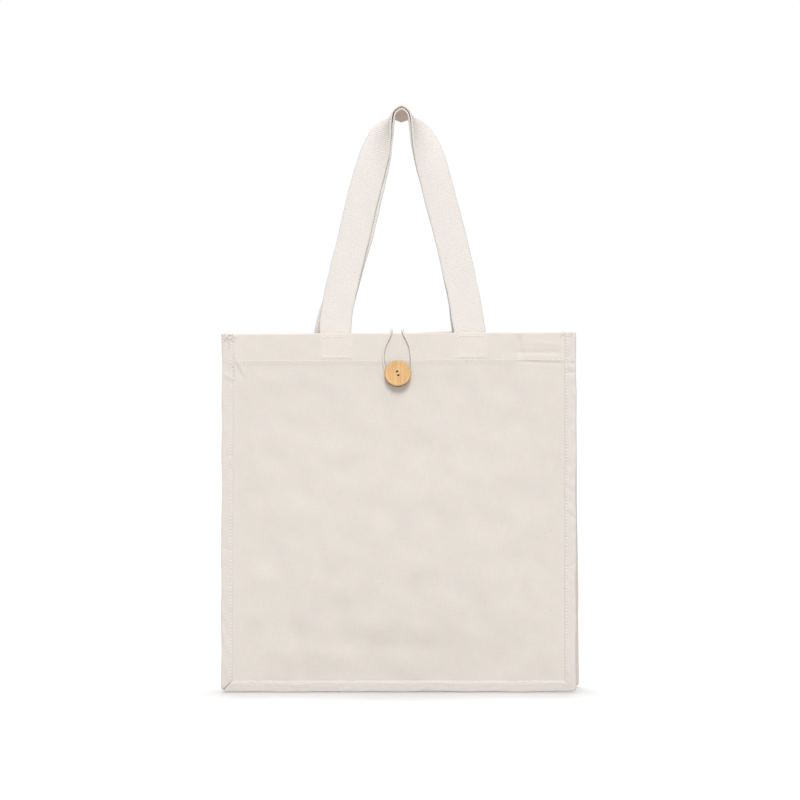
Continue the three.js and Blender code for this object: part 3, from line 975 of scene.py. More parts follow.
@dataclass
class Panel:
    """One canvas panel, folded over at the rim into its hem."""

    form: BagForm
    side: Side
    dents: Sequence[Dent]
    creases: Sequence[Crease]
    feet: tuple[float, float]
    rim_lift: tuple[float, float, float] = (0.0, 0.0, 30.0)
    foot_width: float = 30.6
    foot_rise: float = 0.45
    hem_rise: float = 0.45
    hem_share: float = 0.4
    hem_turn: float = 2.0
    groove: float = 0.1
    groove_width: float = 0.8
    wave_rise: float = 0.35
    wave_length: float = 46.0
    ripple_rise: float = 0.12
    ripple_length: float = 17.0
    foot_pull: float = 0.35
    foot_reach: float = 22.0
    half: float = 0.35
    layer_step: float = 1.5
    fine_reach: float = 40.0
    seed: int = 3

    def relief(self, x: Array, down: Array) -> Array:
        """Height of the outer layer over its smooth form.

        It is the hem's double thickness above its stitch line, with a groove along the stitches,
        the webbing that shows through the hem, the creases and faint waves.
        """
        form = self.form
        height = self.hem_rise * (1 - ramp(form.hem_line + 0.4, form.hem_line + 5.5, down))
        height = height - self.groove * np.exp(-(((down - form.hem_line) / self.groove_width) ** 2))
        above = 1 - ramp(form.hem_line - 2.4, form.hem_line - 1, down)
        for foot in self.feet:
            inside = 1 - ramp(self.foot_width / 2 - 0.6, self.foot_width / 2 + 1.0, np.abs(x - foot))
            height = height + self.foot_rise * inside * above
        for crease in self.creases:
            height = height + crease.lift(x, down)
        free = ramp(0, 25, form.root_x - np.abs(x)) * ramp(form.hem_line, form.hem_line + 25, down)
        height = height + self.wave_rise * free * soft_waves(x, down, self.wave_length, self.seed)
        height = height + self.ripple_rise * soft_waves(x, down * 0.7, self.ripple_length, self.seed + 1)
        return height * ramp(-2, 6, form.root_x - np.abs(x))

    def face(self, x: Array, down: Array) -> Array:
        """Distance from the bag's middle plane to the middle of the outer layer."""
        form = self.form
        smooth = form.half_depth(down) + form.wall - self.half + form.swell(x, down, self.dents)
        return smooth + self.relief(x, down)

    def lift(self, x: Array, down: Array) -> Array:
        """How far the rim is drawn up, dying out down the panel."""
        height, middle, reach = self.rim_lift
        pulled = height * np.exp(-(((x - middle) / reach) ** 2))
        for foot in self.feet:
            pulled = pulled + self.foot_pull * np.exp(-(((x - foot) / self.foot_reach) ** 2))
        return pulled * (1 - ramp(0, 60, down))

    def cloth(self) -> Surface:
        """The panel as one folded sheet.

        Its route goes up the outer face, over the rim in a half circle and down inside. At the
        side seams the two layers are pressed together.

        Returns:
            The panel's surface.
        """
        form = self.form
        turn = self.layer_step / 2
        near_hem = np.linspace(form.hem_line + 4, form.hem_line - 3, 18)
        outer = np.concatenate([
            np.linspace(form.root_down + form.allowance, form.hem_line + 5, 155), near_hem,
            np.linspace(form.hem_line - 4.5, turn + 0.5, 14),
        ])
        arc = np.linspace(0, np.pi, 7)
        inner = np.linspace(turn + 0.6, form.hem_height, 14)
        down = np.concatenate([outer, turn - turn * np.sin(arc), inner])
        inward = np.concatenate([0 * outer, turn - turn * np.cos(arc), 0 * inner + 2 * turn])
        run = np.concatenate([[0], np.cumsum(np.hypot(np.diff(down), np.diff(inward)))])
        edge = form.root_x + form.allowance
        side = np.linspace(edge, edge - self.fine_reach, 34, endpoint=False)
        wide = np.linspace(self.fine_reach - edge, edge - self.fine_reach, 116)
        x, down = np.meshgrid(np.concatenate([-side, wide, side[::-1]]), down, indexing="ij")
        inward = np.broadcast_to(inward, x.shape)
        pressed = ramp(form.root_x - form.hem_inset, form.root_x, np.abs(x))
        half = self.half - 0.075 * pressed * (down < form.hem_height + 1)
        deep = self.face(x, down) - inward * (1 - 0.58 * pressed) + 0.2 * pressed * (down < form.hem_height)
        middle = np.stack([x, self.side.value * deep, self.lift(x, down) - down], axis=-1)
        flat = np.stack(np.broadcast_arrays(x, run[None, :]), axis=-1)
        surface = thicken(middle, flat, half)
        behind = self.behind(x, down).ravel()
        rim = edge_loop(*x.shape)
        surface.backing_and_painted_shade = np.concatenate([behind, behind, behind[rim]])
        return surface

    def behind(self, x: Array, down: Array) -> Array:
        """How much cloth lies behind the outer layer: 0 for none, up to 1 for hem and webbing."""
        layers = self.hem_share * (1 - ramp(self.form.hem_line - 0.5, self.form.hem_line + 1, down))
        for foot in self.feet:
            inside = 1 - ramp(self.foot_width / 2 - 0.5, self.foot_width / 2 + 0.5, np.abs(x - foot))
            low = 1 - ramp(self.form.hem_line - 2.0, self.form.hem_line - 1, down)
            layers = layers + (1 - self.hem_share) * inside * low
        return layers

    def build(self, wardrobe: Wardrobe) -> bpy.types.Object:
        form = self.form
        surface = self.cloth().moved(form.hung)
        node = f"{self.side.label}_panel"
        piece = write_piece(f"{node}_cloth", surface, [node])
        wardrobe.dress(piece, CANVAS)
        return piece


@dataclass
class Strips:
    """What the gusset and the bindings share: a section carried round the bag's three edges."""

    form: BagForm
    along: int = 430
    opened: float = 0.0
    corner_reach: float = 3.5
    corner_cut: float = 0.07

    def turn_at(self, left: Array) -> Array:
        """How far a strip has turned towards a corner's diagonal, from 0 to 1 at the corner."""
        return np.clip(1 - left / self.form.fade_length, 0, 1) ** 2

    def carried(self, run: Run, section: Callable[..., tuple[Array, Array, Array]]) -> Surface:
        """A folded strip along one edge of the bag.

        A point of the section counts `out` from the seam's root line. Down a side it lands at
        (root + out, y, -place - turn * out), and along the base at (place + turn * out, y,
        -root - out), so that both end on the corner's diagonal.

        Args:
            run: Which edge.
            section: Gives `out`, `y` and half the thickness of the section, from grids of the
                share of the way along it, the bag's half depth, the turn and the place.

        Returns:
            The strip's surface.
        """
        form = self.form
        mitre = form.gap / math.sqrt(2)
        share = self.shares()
        if run is Run.BASE:
            end = form.root_x - mitre
            place = np.linspace(-end, end, self.along)
            depth = np.full_like(place, form.base_depth / 2)
            turn = self.turn_at(end - np.abs(place))
        else:
            end = form.root_down - mitre
            place = np.linspace(0, end, self.along)
            depth = form.half_depth(place)
            turn = self.turn_at(end - place)
        grid = [np.broadcast_to(a[None, :], (len(share), len(place))) for a in (depth, turn, place)]
        out, y, half = section(share[:, None] + 0 * grid[0], *grid)
        near = end - np.abs(grid[2]) if run is Run.BASE else end - grid[2]
        out = np.where(out > 0, out * (1 - self.corner_cut * (1 - ramp(0, self.corner_reach, near))), out)
        left_side = grid[2] < 0 if run is Run.BASE else run is Run.LEFT
        turned = grid[1] * (1 - self.opened * left_side * (out > 0)) * out
        if run is Run.BASE:
            middle = np.stack([grid[2] + np.sign(grid[2]) * turned, y, -form.root_down - out], -1)
        else:
            middle = np.stack([run.value * (form.root_x + out), y, -grid[2] - turned], -1)
        steps = np.linalg.norm(np.diff(middle, axis=0), axis=-1)
        across = np.concatenate([np.zeros((1, steps.shape[1])), np.cumsum(steps, axis=0)])
        flat = np.stack(np.broadcast_arrays(across, place[None, :]), axis=-1)
        return thicken(middle, flat, half)

    def shares(self) -> Array:
        """Stations across the strip, from 0 to 1."""
        return np.linspace(0, 1, 41)

    def seam_length(self, run: Run) -> float:
        """Length of the seam's root line along one edge."""
        return 2 * self.form.root_x if run is Run.BASE else self.form.root_down


@dataclass
class Gusset(Strips):
    """The gusset strip, folded in at the sides and up at the base."""

    along: int = 120
    half: float = 0.4

    def section(self, share: Array, depth: Array, turn: Array, place: Array) -> tuple[Array, ...]:
        """The gusset's folded line: a flange, a leg in to the rounded fold, and the same back.

        Args:
            share: Distance along the section, 0 at the front flange and 1 at the rear one.
            depth: The bag's half depth.
            turn: How far the strip has turned towards the corner.
            place: Distance along the strip.

        Returns:
            The section's `out`, `y` and half thickness.
        """
        form = self.form
        seam = depth - form.gap - form.wall / 2
        narrow = 1 - (1 - math.sqrt(0.5)) * turn
        fold = np.sqrt((form.gusset_width / 2) ** 2 - seam**2) * narrow
        inward = 1 - np.abs(2 * share - 1)
        lip, tip = 0.16, 0.9
        leg = np.clip((inward - lip) / (tip - lip), 0, 1)
        bend = np.clip((inward - tip) / (1 - tip), 0, 1) * np.pi / 2
        out = np.where(inward < lip, form.allowance * (1 - inward / lip), -(fold - form.gusset_fold) * leg)
        out = out - 0.5 * ramp(0, 0.2, leg) - form.gusset_fold * np.sin(bend)
        run = seam + (form.gusset_fold - seam) * leg**1.08
        y = np.where(inward > tip, form.gusset_fold * np.cos(bend), run)
        free = np.sin(np.pi * leg) * ramp(0, 20, place + 30)
        sag = 0.5 * free * soft_waves(place, leg * 30 + 17 * np.sign(share - 0.5), 38, 11)
        return out, np.sign(share - 0.5 + 1e-9) * (y + sag), self.half + 0 * share

    def build(self, run: Run, wardrobe: Wardrobe) -> bpy.types.Object:
        node = f"gusset_{run.label}"
        surface = self.carried(run, self.section).moved(self.form.hung)
        piece = write_piece(f"{node}_cloth", surface, [node])
        wardrobe.dress(piece, CANVAS)
        wide = self.form.gusset_width + 2 * self.form.allowance
        flat = (wide * MM, self.seam_length(run) * MM)
        return piece


@dataclass
class Binding(Strips):
    """The tape that binds a seam, folded round the flanges of the panel and the gusset.

    The fold is squarer than a half circle: its depth follows the sine to the power fold_power.
    """

    side: Side = Side.FRONT
    half: float = 0.5
    edge_half: float = 0.15
    edge_rise: float = 0.4
    edge_reach: float = 2.8
    fold_depth: float = 1.8
    fold_power: float = 0.25
    stitch_out: float = 1.4
    row_width: float = 0.8
    row_sink: float = 0.1
    hole_sink: float = 0.34
    puff: float = 0.17
    puff_base: float = 0.08
    puff_length: float = 13.0
    wander: float = 0.22
    wander_length: float = 60.0
    tape_width: float = 24.5
    stitch: Stitch = field(default_factory=Stitch)
    wrinkles: Sequence[tuple[Run, Crease]] = ()
    seed: int = 21

    def ends(self, run: Run) -> tuple[float, float]:
        """Where a run's row of stitches starts and stops, as places along the strip."""
        inset = self.form.root_x - 1.0
        return (-inset, inset) if run is Run.BASE else (1.5, self.form.root_down)

    def pucker(self, run: Run, place: Array, out: Array) -> Array:
        """How far the tape's face is drawn in at its needle holes, puffed and wrinkled."""
        line = np.exp(-(((out - self.stitch_out) / self.row_width) ** 2))
        holes = self.stitch.pinch(place, *self.ends(run))
        waves = soft_waves(place, out * 2.5, self.puff_length, self.seed + run.value) * ramp(0, 4, out)
        puff = self.puff_base if run is Run.BASE else self.puff
        height = -self.row_sink * line - self.hole_sink * line * holes + puff * waves
        for where, wrinkle in self.wrinkles:
            if where is run:
                height = height + wrinkle.lift(out, place)
        return height

    def laid(self, out: Array, depth: Array) -> tuple[Array, Array]:
        """Middle and half thickness of the tape on the panel, thin and pressed down at its edge."""
        free = ramp(-0.4, self.edge_reach, out)
        half = self.edge_half + (self.half - self.edge_half) * free
        full = self.form.gap + 2 * self.half
        rise = self.edge_rise + (full - self.edge_rise) * free
        return depth + self.form.wall + rise - half, half

    def shares(self) -> Array:
        """Stations across the tape, closest together at its row of stitches."""
        near = np.linspace(0, 0.11, 9)
        fold = 0.5 - 0.13 * np.cos(np.linspace(0, np.pi, 10))
        return np.concatenate([near, np.linspace(0.15, 0.34, 4), fold, np.linspace(0.7, 1, 4)])

    def tape_section(self, run: Run) -> Callable[..., tuple[Array, Array, Array]]:
        """The section of the tape on one run.

        Its line goes out along the panel, round the seam's edge in a half circle and back.

        Args:
            run: Which edge of the bag.

        Returns:
            The function that `carried` reads the section from.
        """
        def section(share: Array, depth: Array, turn: Array, place: Array) -> tuple[Array, ...]:
            """Gives the section's `out`, `y` and half thickness; a tape doesn't turn."""
            form = self.form
            outer = depth + form.wall + form.gap + self.half
            inner = depth - 2 * form.gap - form.wall - self.half
            radius = (outer - inner) / 2
            straight = form.seam_width - self.half - radius
            along = share * (2 * straight + np.pi * radius)
            angle = np.clip((along - straight) / radius, 0, np.pi)
            back = np.clip(along - straight - np.pi * radius, 0, None)
            tip = self.fold_depth * np.sin(angle) ** self.fold_power
            out = np.minimum(along, straight) + tip - back
            middle, half = self.laid(out, depth)
            half = np.where(along < straight, half, self.half)
            y = np.where(along < straight, middle, inner + radius + radius * np.cos(angle))
            y = y + (1 - ramp(0.35, 0.6, share)) * self.pucker(run, place, out)
            waves = soft_waves(place, 0 * out, self.wander_length, self.seed + 5)
            out = out + self.wander * waves * ramp(0, 12, out + 6)
            return out, self.side.value * y, half

        return section

    def stitch_line(self, run: Run) -> Surface:
        """The row of stitches along one run's outer face."""
        form = self.form
        place = np.linspace(*self.ends(run), 500)
        if run is Run.BASE:
            x, z = place, -form.root_down - self.stitch_out + 0 * place
            depth = form.base_depth / 2 + 0 * place
        else:
            x, z = run.value * (form.root_x + self.stitch_out) + 0 * place, -place
            depth = form.half_depth(place)
        out = self.stitch_out + 0 * place
        middle, half = self.laid(out, depth)
        pressed = 0.2 * self.stitch.pinch(place, *self.ends(run))
        face = middle + half + self.pucker(run, place, out) + pressed
        line = np.stack([x, self.side.value * face, z], -1)
        outward = np.broadcast_to([0.0, float(self.side.value), 0.0], line.shape)
        return self.stitch.row(line, outward)

    def build(self, run: Run, wardrobe: Wardrobe) -> bpy.types.Object:
        node = f"{self.side.label}_binding_{run.label}"
        surface = self.carried(run, self.tape_section(run)).moved(self.form.hung)
        piece = write_piece(f"{node}_tape", surface, [node])
        wardrobe.dress(piece, BINDING)
        flat = (self.tape_width * MM, self.seam_length(run) * MM)
        return piece


@dataclass
class Handles:
    """The two webbing handles, laid flat at the hems and turned edge-on over the hang point."""

    form: BagForm
    span: float = 134.0
    offset: float = 4.8
    width: float = 30.0
    thick: float = 2.0
    nest: float = 1.3
    arch_gap: float = 0.95
    # Reach of the painted shade on the underside near the arch, in millimetres.
    painted_shade_reach: float = 24.0
    tilt: float = 18.0
    untwist: float = 36.0
    sewn: float = 28.0
    hem_extra: float = 1.2
    rib: float = 2.0
    rib_rise: float = 0.13
    scallop: float = 0.006
    edge_wave: float = 0.008
    edge_length: float = 22.0
    cup: float = 0.125
    cup_length: float = 50.0
    brick_width: float = 3.3
    brick_rise: float = 0.05
    rows:Sequence[tuple[float, float]] = (
        (1.0, 0.0), (0.991, 0.06), (0.943, 0.15), (0.878, 0.24), (0.806, 0.33), (0.729, 0.42),
        (0.657, 0.51), (0.583, 0.6), (0.51, 0.69), (0.428, 0.782), (0.346, 0.872), (0.285, 0.922),
        (0.212, 0.961), (0.118, 0.992), (0.0, 1.0),
    )
    shifts: Sequence[tuple[float, float, float]] = (
        (0.0, -0.4, -1.4), (0.06, -0.4, -2.7), (0.24, -0.5, -2.4), (0.42, -0.7, -1.1), (0.6, -1.4, -1.6),
        (0.8, -1.0, -1.2), (1.0, -1.3, -1.3),
    )
    settle: float = 4.0
    leg_nest: float = 0.35
    slips: Sequence[tuple[float, float, float]] = (
        (0.0, -0.19, -0.05), (0.06, -0.12, -0.045), (0.14, -0.01, -0.015), (0.33, 0.05, 0.007),
        (0.45, 0.095, 0.008), (0.6, 0.11, 0.008), (0.75, 0.075, 0.006), (0.9, 0.01, 0.0), (1.0, 0.0, 0.0),
    )

    def sewn_depth(self, down: Array) -> Array:
        """Distance from the middle plane to the webbing's middle inside the hem."""
        return self.form.half_depth(down) - self.hem_extra - self.form.gap - self.thick / 2

    def front_line(self) -> Route:
        """The front handle's middle line, measured from the hang point."""
        form = self.form
        tilt = math.radians(self.tilt)
        arch = 1.5 * self.thick + self.nest
        climbing = form.rim_drop + arch * math.cos(tilt)
        foot_y = -float(self.sewn_depth(0.0))
        spread, climb = np.array(self.rows).T
        reach = spread * self.span / 2
        middle = (self.offset - form.hang_offset) * (1 - climb)
        y = foot_y + (arch * math.sin(tilt) - foot_y) * climb
        z = climb * climbing - form.rim_drop
        heights, to_left, to_right = np.array(self.shifts).T
        left = np.stack([middle - reach + np.interp(climb, heights, to_left), y, z], axis=1)
        right = np.stack([middle + reach + np.interp(climb, heights, to_right), y, z], axis=1)[:-1][::-1]
        drops = np.array([[0, 0, -self.sewn], [0, 0, -self.sewn / 2]])
        return Route(np.concatenate([left[0] + drops, left, right, right[-1] + drops[::-1]]))

    def front(self, distance: Array, line: Route) -> tuple[Array, Array, Array]:
        """The front handle at distances along its middle line.

        The webbing lies flat along its legs and turns by 90 degrees plus the tilt times
        exp(-(d / untwist)^1.25) at the distance d from the arch.

        Args:
            distance: Distances along the line.
            line: The middle line.

        Returns:
            The points, the direction of the width and the direction that the outer face looks in.
        """
        point, tangent = line.at(distance), line.heading(distance)
        from_arch = np.abs(distance - line.length / 2)
        turn = np.radians(90 + self.tilt) * np.exp(-((from_arch / self.untwist) ** 1.25))
        flat = unit(np.stack([tangent[:, 2], 0 * turn, -tangent[:, 0]], axis=1))
        width = flat * np.cos(turn)[:, None]
        width[:, 1] = -np.sin(turn)
        width = unit(width - tangent * np.sum(width * tangent, axis=1, keepdims=True))
        down = -self.form.rim_drop - point[:, 2]
        point[:, 1] = np.where(down > 0, -self.sewn_depth(down), point[:, 1])
        return point, width, np.cross(width, tangent)

    def back(self, distance: Array, line: Route) -> tuple[Array, Array, Array]:
        """The back handle: nested behind the front one and spread to the back hem near its feet."""
        point, width, outward = self.front(distance, line)
        climb = np.clip(point[:, 2] / self.form.rim_drop + 1, 0, 1)
        nested = self.thick + self.leg_nest + (self.arch_gap - self.leg_nest) * ramp(0.6, 0.93, climb)
        spread = 2 * float(self.sewn_depth(0.0)) - self.thick - self.leg_nest
        heights, left, right = np.array(self.slips).T
        slip = np.where(
            distance < line.length / 2, np.interp(climb, heights, left), np.interp(climb, heights, right),
        )
        point = point - outward * (nested + spread * (1 - climb) ** self.settle)[:, None]
        point[:, 0] += slip * self.width
        down = -self.form.rim_drop - point[:, 2]
        point[:, 1] = np.where(down > 0, self.sewn_depth(down), point[:, 1])
        return point, width, outward

    def webbing(self, side: Side) -> Surface:
        """One handle as ribbed webbing.

        The faces carry crosswise ribs of height rib_rise cos(2 pi s / rib), and the two edges are
        scalloped in step with them. The underside carries painted shade: a brown colour mixed in by
        exp(-(d / r)^2) at the distance d from the arch, with r the reach of that shade.

        Args:
            side: Which handle.

        Returns:
            The webbing's surface.
        """
        line = self.front_line()
        distance = np.linspace(0, line.length, 1550)
        read = self.front if side is Side.FRONT else self.back
        point, width, outward = read(distance, line)
        across = np.linspace(-1, 1, 17) * self.width / 2
        rib = np.cos(math.tau * distance / self.rib)
        waves = soft_waves(distance, 0 * distance, self.edge_length, 31 + side.value)
        edge = 1 + self.scallop * rib + self.edge_wave * waves
        reach = across[:, None] * edge[None, :]
        middle = point[None] + width[None] * reach[..., None]
        cup = self.cup * soft_waves(distance[None, :], reach * 2, self.cup_length, 37 + side.value)
        middle = middle + outward[None] * cup[..., None]
        columns = np.cos(math.tau * across / self.brick_width)
        brick = columns[:, None] * np.cos(np.pi * distance / self.rib)[None, :]
        relief = self.rib_rise * rib[None, :] + self.brick_rise * brick
        flat = np.stack(np.broadcast_arrays(across[:, None], distance[None, :]), axis=-1)
        surface = thicken(middle, flat, self.thick / 2 - self.rib_rise, relief)
        # Painted shade on the inner face near the arch: the mask for the brown colour.
        painted_shade = np.exp(-(((distance - line.length / 2) / self.painted_shade_reach) ** 2))
        under = np.broadcast_to(painted_shade, relief.shape).ravel()
        rim = np.zeros(len(edge_loop(*relief.shape)))
        surface.backing_and_painted_shade = np.concatenate([np.zeros_like(under), under, rim])
        return surface

    def build(self, side: Side, wardrobe: Wardrobe) -> bpy.types.Object:
        node = f"{side.label}_handle"
        piece = write_piece(f"{node}_webbing", self.webbing(side), [node])
        wardrobe.dress(piece, WEBBING)
        line = self.front_line()
        read = self.front if side is Side.FRONT else self.back
        points = read(np.linspace(0, line.length, 600), line)[0]
        return piece


@dataclass
class Fastening:
    """The elastic loop, the bamboo button and its thread.

    The elastic's inner side carries painted shade: its colour is made up to 40 per cent darker
    there, standing in for the shadow between the cord and the cloth.
    """

    form: BagForm
    panel: Panel
    elastic: float = 2.2
    button: float = 26.0
    thick: float = 4.0
    rounding: float = 0.9
    dish: float = 0.3
    dish_edge: tuple[float, float] = (8.6, 10.6)
    hole_round: float = 0.25
    hole_round_reach: float = 0.5
    drop: float = 40.2
    aside: float = -0.8
    hole: float = 2.1
    hole_rear: float = 0.9
    pitch: float = 3.6
    lean: float = 17.0
    nod: float = 12.0
    shank: float = 3.2
    strand: float = 0.42
    route: Sequence[Colour] = (
        (-6.9, 5.5, -18.0), (-7.0, 5.0, -11.0), (-7.1, 4.5, -4.0), (-7.2, 3.6, 0.6), (-7.2, 1.0, 3.3),
        (-7.2, -2.3, 3.9), (-7.2, -5.6, 3.8), (-7.4, -8.75, 2.1), (-8.0, -9.75, -1.2),
        (-10.8, -10.05, -7.4), (-13.8, -10.45, -14.3), (-15.0, -10.98, -23.2), (-14.4, -11.4, -30.1),
        (-12.9, -11.8, -37.0), (-10.6, -12.15, -43.0), (-6.4, -12.45, -47.8), (-1.0, -12.55, -49.6),
        (4.6, -12.45, -47.8), (9.2, -12.15, -43.0), (11.8, -11.8, -37.0), (12.8, -11.4, -30.1),
        (12.3, -10.98, -23.2), (11.2, -10.45, -14.3), (8.6, -10.05, -7.4), (5.4, -9.75, -1.2),
        (4.4, -8.75, 2.1), (4.1, -5.6, 3.8), (4.1, -2.3, 3.9), (4.1, 1.0, 3.3), (4.1, 3.6, 0.6),
        (4.2, 4.5, -4.0), (4.3, 5.0, -11.0), (4.4, 5.5, -18.0),
    )

    def build_elastic(self, wardrobe: Wardrobe) -> bpy.types.Object:
        route = Route(self.route)
        middle = np.array([-self.form.hang_offset, 0.0, -self.form.rim_drop])
        line = route.at(np.linspace(0, route.length, 480)) + middle
        cord = tube(line, self.elastic / 2, 14)
        heart = np.array([self.aside, 0.0, -self.drop]) + middle
        # Painted shade: the mask is -1 on the cord's side towards the loop's inside, where the finish
        # darkens it.
        inward = unit((heart - line) * (1, 0, 0.25))
        aside = np.sum((cord.points.reshape(-1, 14, 3) - line[:, None]) * inward[:, None], axis=-1)
        cord.backing_and_painted_shade = -ramp(0.35, 0.8, aside / (self.elastic / 2)).ravel()
        piece = write_piece("elastic_loop_cord", cord, ["elastic_loop"])
        wardrobe.dress(piece, ELASTIC)
        return piece

    def stand(self, points: Array) -> Array:
        """Points drawn lying on the panel, x right and y up with z outward, set on its slope.

        The button's lower edge is pushed out by the elastic behind it, so all of it nods forward
        about its middle.
        """
        form = self.form
        nod, pivot = math.radians(self.nod), self.shank + self.thick / 2
        up, out = points[:, 1], points[:, 2] - pivot
        points = np.stack([
            points[:, 0], up * math.cos(nod) + out * math.sin(nod),
            out * math.cos(nod) - up * math.sin(nod) + pivot,
        ], axis=1)
        slope = float(form.half_depth(self.drop + 1) - form.half_depth(self.drop - 1)) / 2
        tilt = math.pi / 2 - math.atan(slope)
        face = float(form.half_depth(self.drop)) + form.wall
        face += float(form.swell(np.array(self.aside), np.array(self.drop), self.panel.dents))
        x, y, z = points.T
        stood = np.stack([
            x + self.aside - form.hang_offset,
            y * math.cos(tilt) - z * math.sin(tilt) - face,
            y * math.sin(tilt) + z * math.cos(tilt) - self.drop - form.rim_drop,
        ], axis=1)
        return stood

    def leaned(self) -> Array:
        """The matrix that turns rows of x, y and z by the lean of the two holes."""
        lean = math.radians(self.lean)
        cosine, sine = math.cos(lean), math.sin(lean)
        return np.array([[cosine, sine, 0], [-sine, cosine, 0], [0, 0, 1]])

    def disc_half(self, up: int) -> Surface:
        """Half of the button, with one hole that narrows towards the back.

        Rays from the hole's middle run to the rim or to the line that parts the halves. The
        faces' height follows the distance r from the button's middle: a shallow dish, and a
        quarter circle at the rim.

        Args:
            up: 1 for the half above the line between the holes, -1 for the half below.

        Returns:
            The half, open where the other one joins it.
        """
        radius, centre = self.button / 2, self.pitch / 2
        rim = np.linspace(0, np.pi, 65)[:-1]
        base = -np.cos(np.linspace(0, np.pi, 33))[:-1]
        outline = np.concatenate([
            np.stack([np.cos(rim), np.sin(rim)], axis=1), np.stack([base, 0 * base], axis=1),
        ]) * radius
        ray = unit(np.concatenate([outline - [0, centre], np.zeros((len(outline), 1))], axis=1))[:, :2]
        share = np.concatenate([[0, 0.02, 0.05], np.linspace(0.1, 0.9, 9), 1 - 0.1 * np.cos(
            np.linspace(0, np.pi / 2, 9))[1:]])

        def face(bore: float) -> tuple[Array, Array, Array]:
            """Places on a face, how far it drops there, and the painted shade's mask, for a hole's radius.
            """
            start = np.array([0, centre]) + ray * bore
            flat = start[:, None] + (outline - start)[:, None] * share[None, :, None]
            distance = np.linalg.norm(flat, axis=-1)
            from_hole = np.linalg.norm(flat - [0, centre], axis=-1)
            past = np.clip(distance - (radius - self.rounding), 0, self.rounding)
            drop = self.rounding - np.sqrt(self.rounding**2 - past**2)
            drop = drop + self.dish * (1 - ramp(*self.dish_edge, distance))
            near = np.clip(1 - (from_hole - bore) / self.hole_round_reach, 0, 1)
            drop = drop + self.hole_round * near**2
            # Mask of the painted shade: the outer part of the rounded rim and a band round the hole.
            painted_edge_shade = np.maximum(ramp(0.75, 1.0, past / self.rounding), ramp(0.25, 0.0, from_hole - bore))
            flat[..., 1] *= up
            return flat, drop, painted_edge_shade

        front, front_drop, front_edge_shade = face(self.hole / 2)
        rear, rear_drop, rear_edge_shade = face(self.hole_rear / 2)
        count, steps = share.size, len(outline)
        top = np.concatenate([front, (self.shank + self.thick - front_drop)[..., None]], axis=-1)
        under = np.concatenate([rear, (self.shank + rear_drop)[..., None]], axis=-1)
        points = np.concatenate([top.reshape(-1, 3), under.reshape(-1, 3)])
        under_start = steps * count
        sheet = grid_quads(steps + 1, count) % under_start
        bore = np.arange(steps) * count
        bore_after = np.roll(bore, -1)
        bore_wall = np.stack([bore_after, bore, bore + under_start, bore_after + under_start], axis=1)
        edge, edge_after = bore[:len(rim)] + count - 1, bore_after[:len(rim)] + count - 1
        rim_wall = np.stack([edge, edge_after, edge_after + under_start, edge + under_start], axis=1)
        quads = np.concatenate([sheet[:, ::-1], sheet + under_start, bore_wall[:, ::-1], rim_wall[:, ::-1]])
        quads = quads if up > 0 else quads[:, ::-1]
        around = np.concatenate([front.reshape(-1, 2), rear.reshape(-1, 2)])
        return Surface(points, quads, around[quads], np.concatenate([front_edge_shade.ravel(), rear_edge_shade.ravel()]))

    def build_button(self, wardrobe: Wardrobe) -> bpy.types.Object:
        """Makes the button of its two halves, welded, and leans it."""
        whole = self.disc_half(1).joined(self.disc_half(-1))
        turn = self.leaned()
        upright = whole.cloth @ turn[:2, :2]
        disc = Surface(self.stand(whole.points @ turn), whole.quads, upright, whole.backing_and_painted_shade)
        piece = write_piece("button_disc", disc, ["button"])
        welded = bmesh.new()
        welded.from_mesh(piece.data)
        bmesh.ops.remove_doubles(welded, verts=welded.verts, dist=1e-6)
        bmesh.ops.recalc_face_normals(welded, faces=welded.faces)
        welded.to_mesh(piece.data)
        welded.free()
        wardrobe.dress(piece, BAMBOO)
        return piece

    def build_thread(self, wardrobe: Wardrobe) -> bpy.types.Object:
        """Makes the thread: three strands over the button's two holes and a wound shank."""
        top = self.shank + self.thick
        reach = self.pitch / 2
        parts = []
        inner = reach - self.hole / 2 + self.strand / 2 + 0.08
        rises = (
            (0.3, -reach, 1.0), (0.3, -reach, self.shank + 0.4), (0.8, -inner, top - 1.1),
            (1.0, -inner * 0.95, top - 0.1), (1.0, -inner * 0.5, top + 0.16),
        )
        for aside in (-0.3, 0.0, 0.3):
            half = [(aside * spread, y, z) for spread, y, z in rises]
            path = half + [(aside, 0.0, top + 0.2)] + [(x, -y, z) for x, y, z in half[::-1]]
            route = Route(path)
            parts.append(tube(route.at(np.linspace(0, route.length, 40)), self.strand / 2, 8))
        wound = np.linspace(0, 6 * math.tau, 200)
        radius = 2.75 + 0.1 * np.sin(wound * 0.37)
        height = 0.6 + (self.shank - 1.0) * wound / wound[-1]
        coil = np.stack([radius * np.cos(wound), radius * np.sin(wound), height], axis=1)
        parts.append(tube(coil, self.strand * 0.7, 8))
        whole = parts[0].joined(*parts[1:])
        surface = Surface(self.stand(whole.points @ self.leaned()), whole.quads, whole.cloth)
        piece = write_piece("button_thread_strands", surface, ["button_thread"])
        wardrobe.dress(piece, BUTTON_THREAD)
        return piece


@dataclass(frozen=True)
class Fray:
    """A patch of loose thread ends, in millimetres from the rim's middle."""

    low: tuple[float, float]
    high: tuple[float, float]
    count: int
    length: float
    thick: float
    seed: int


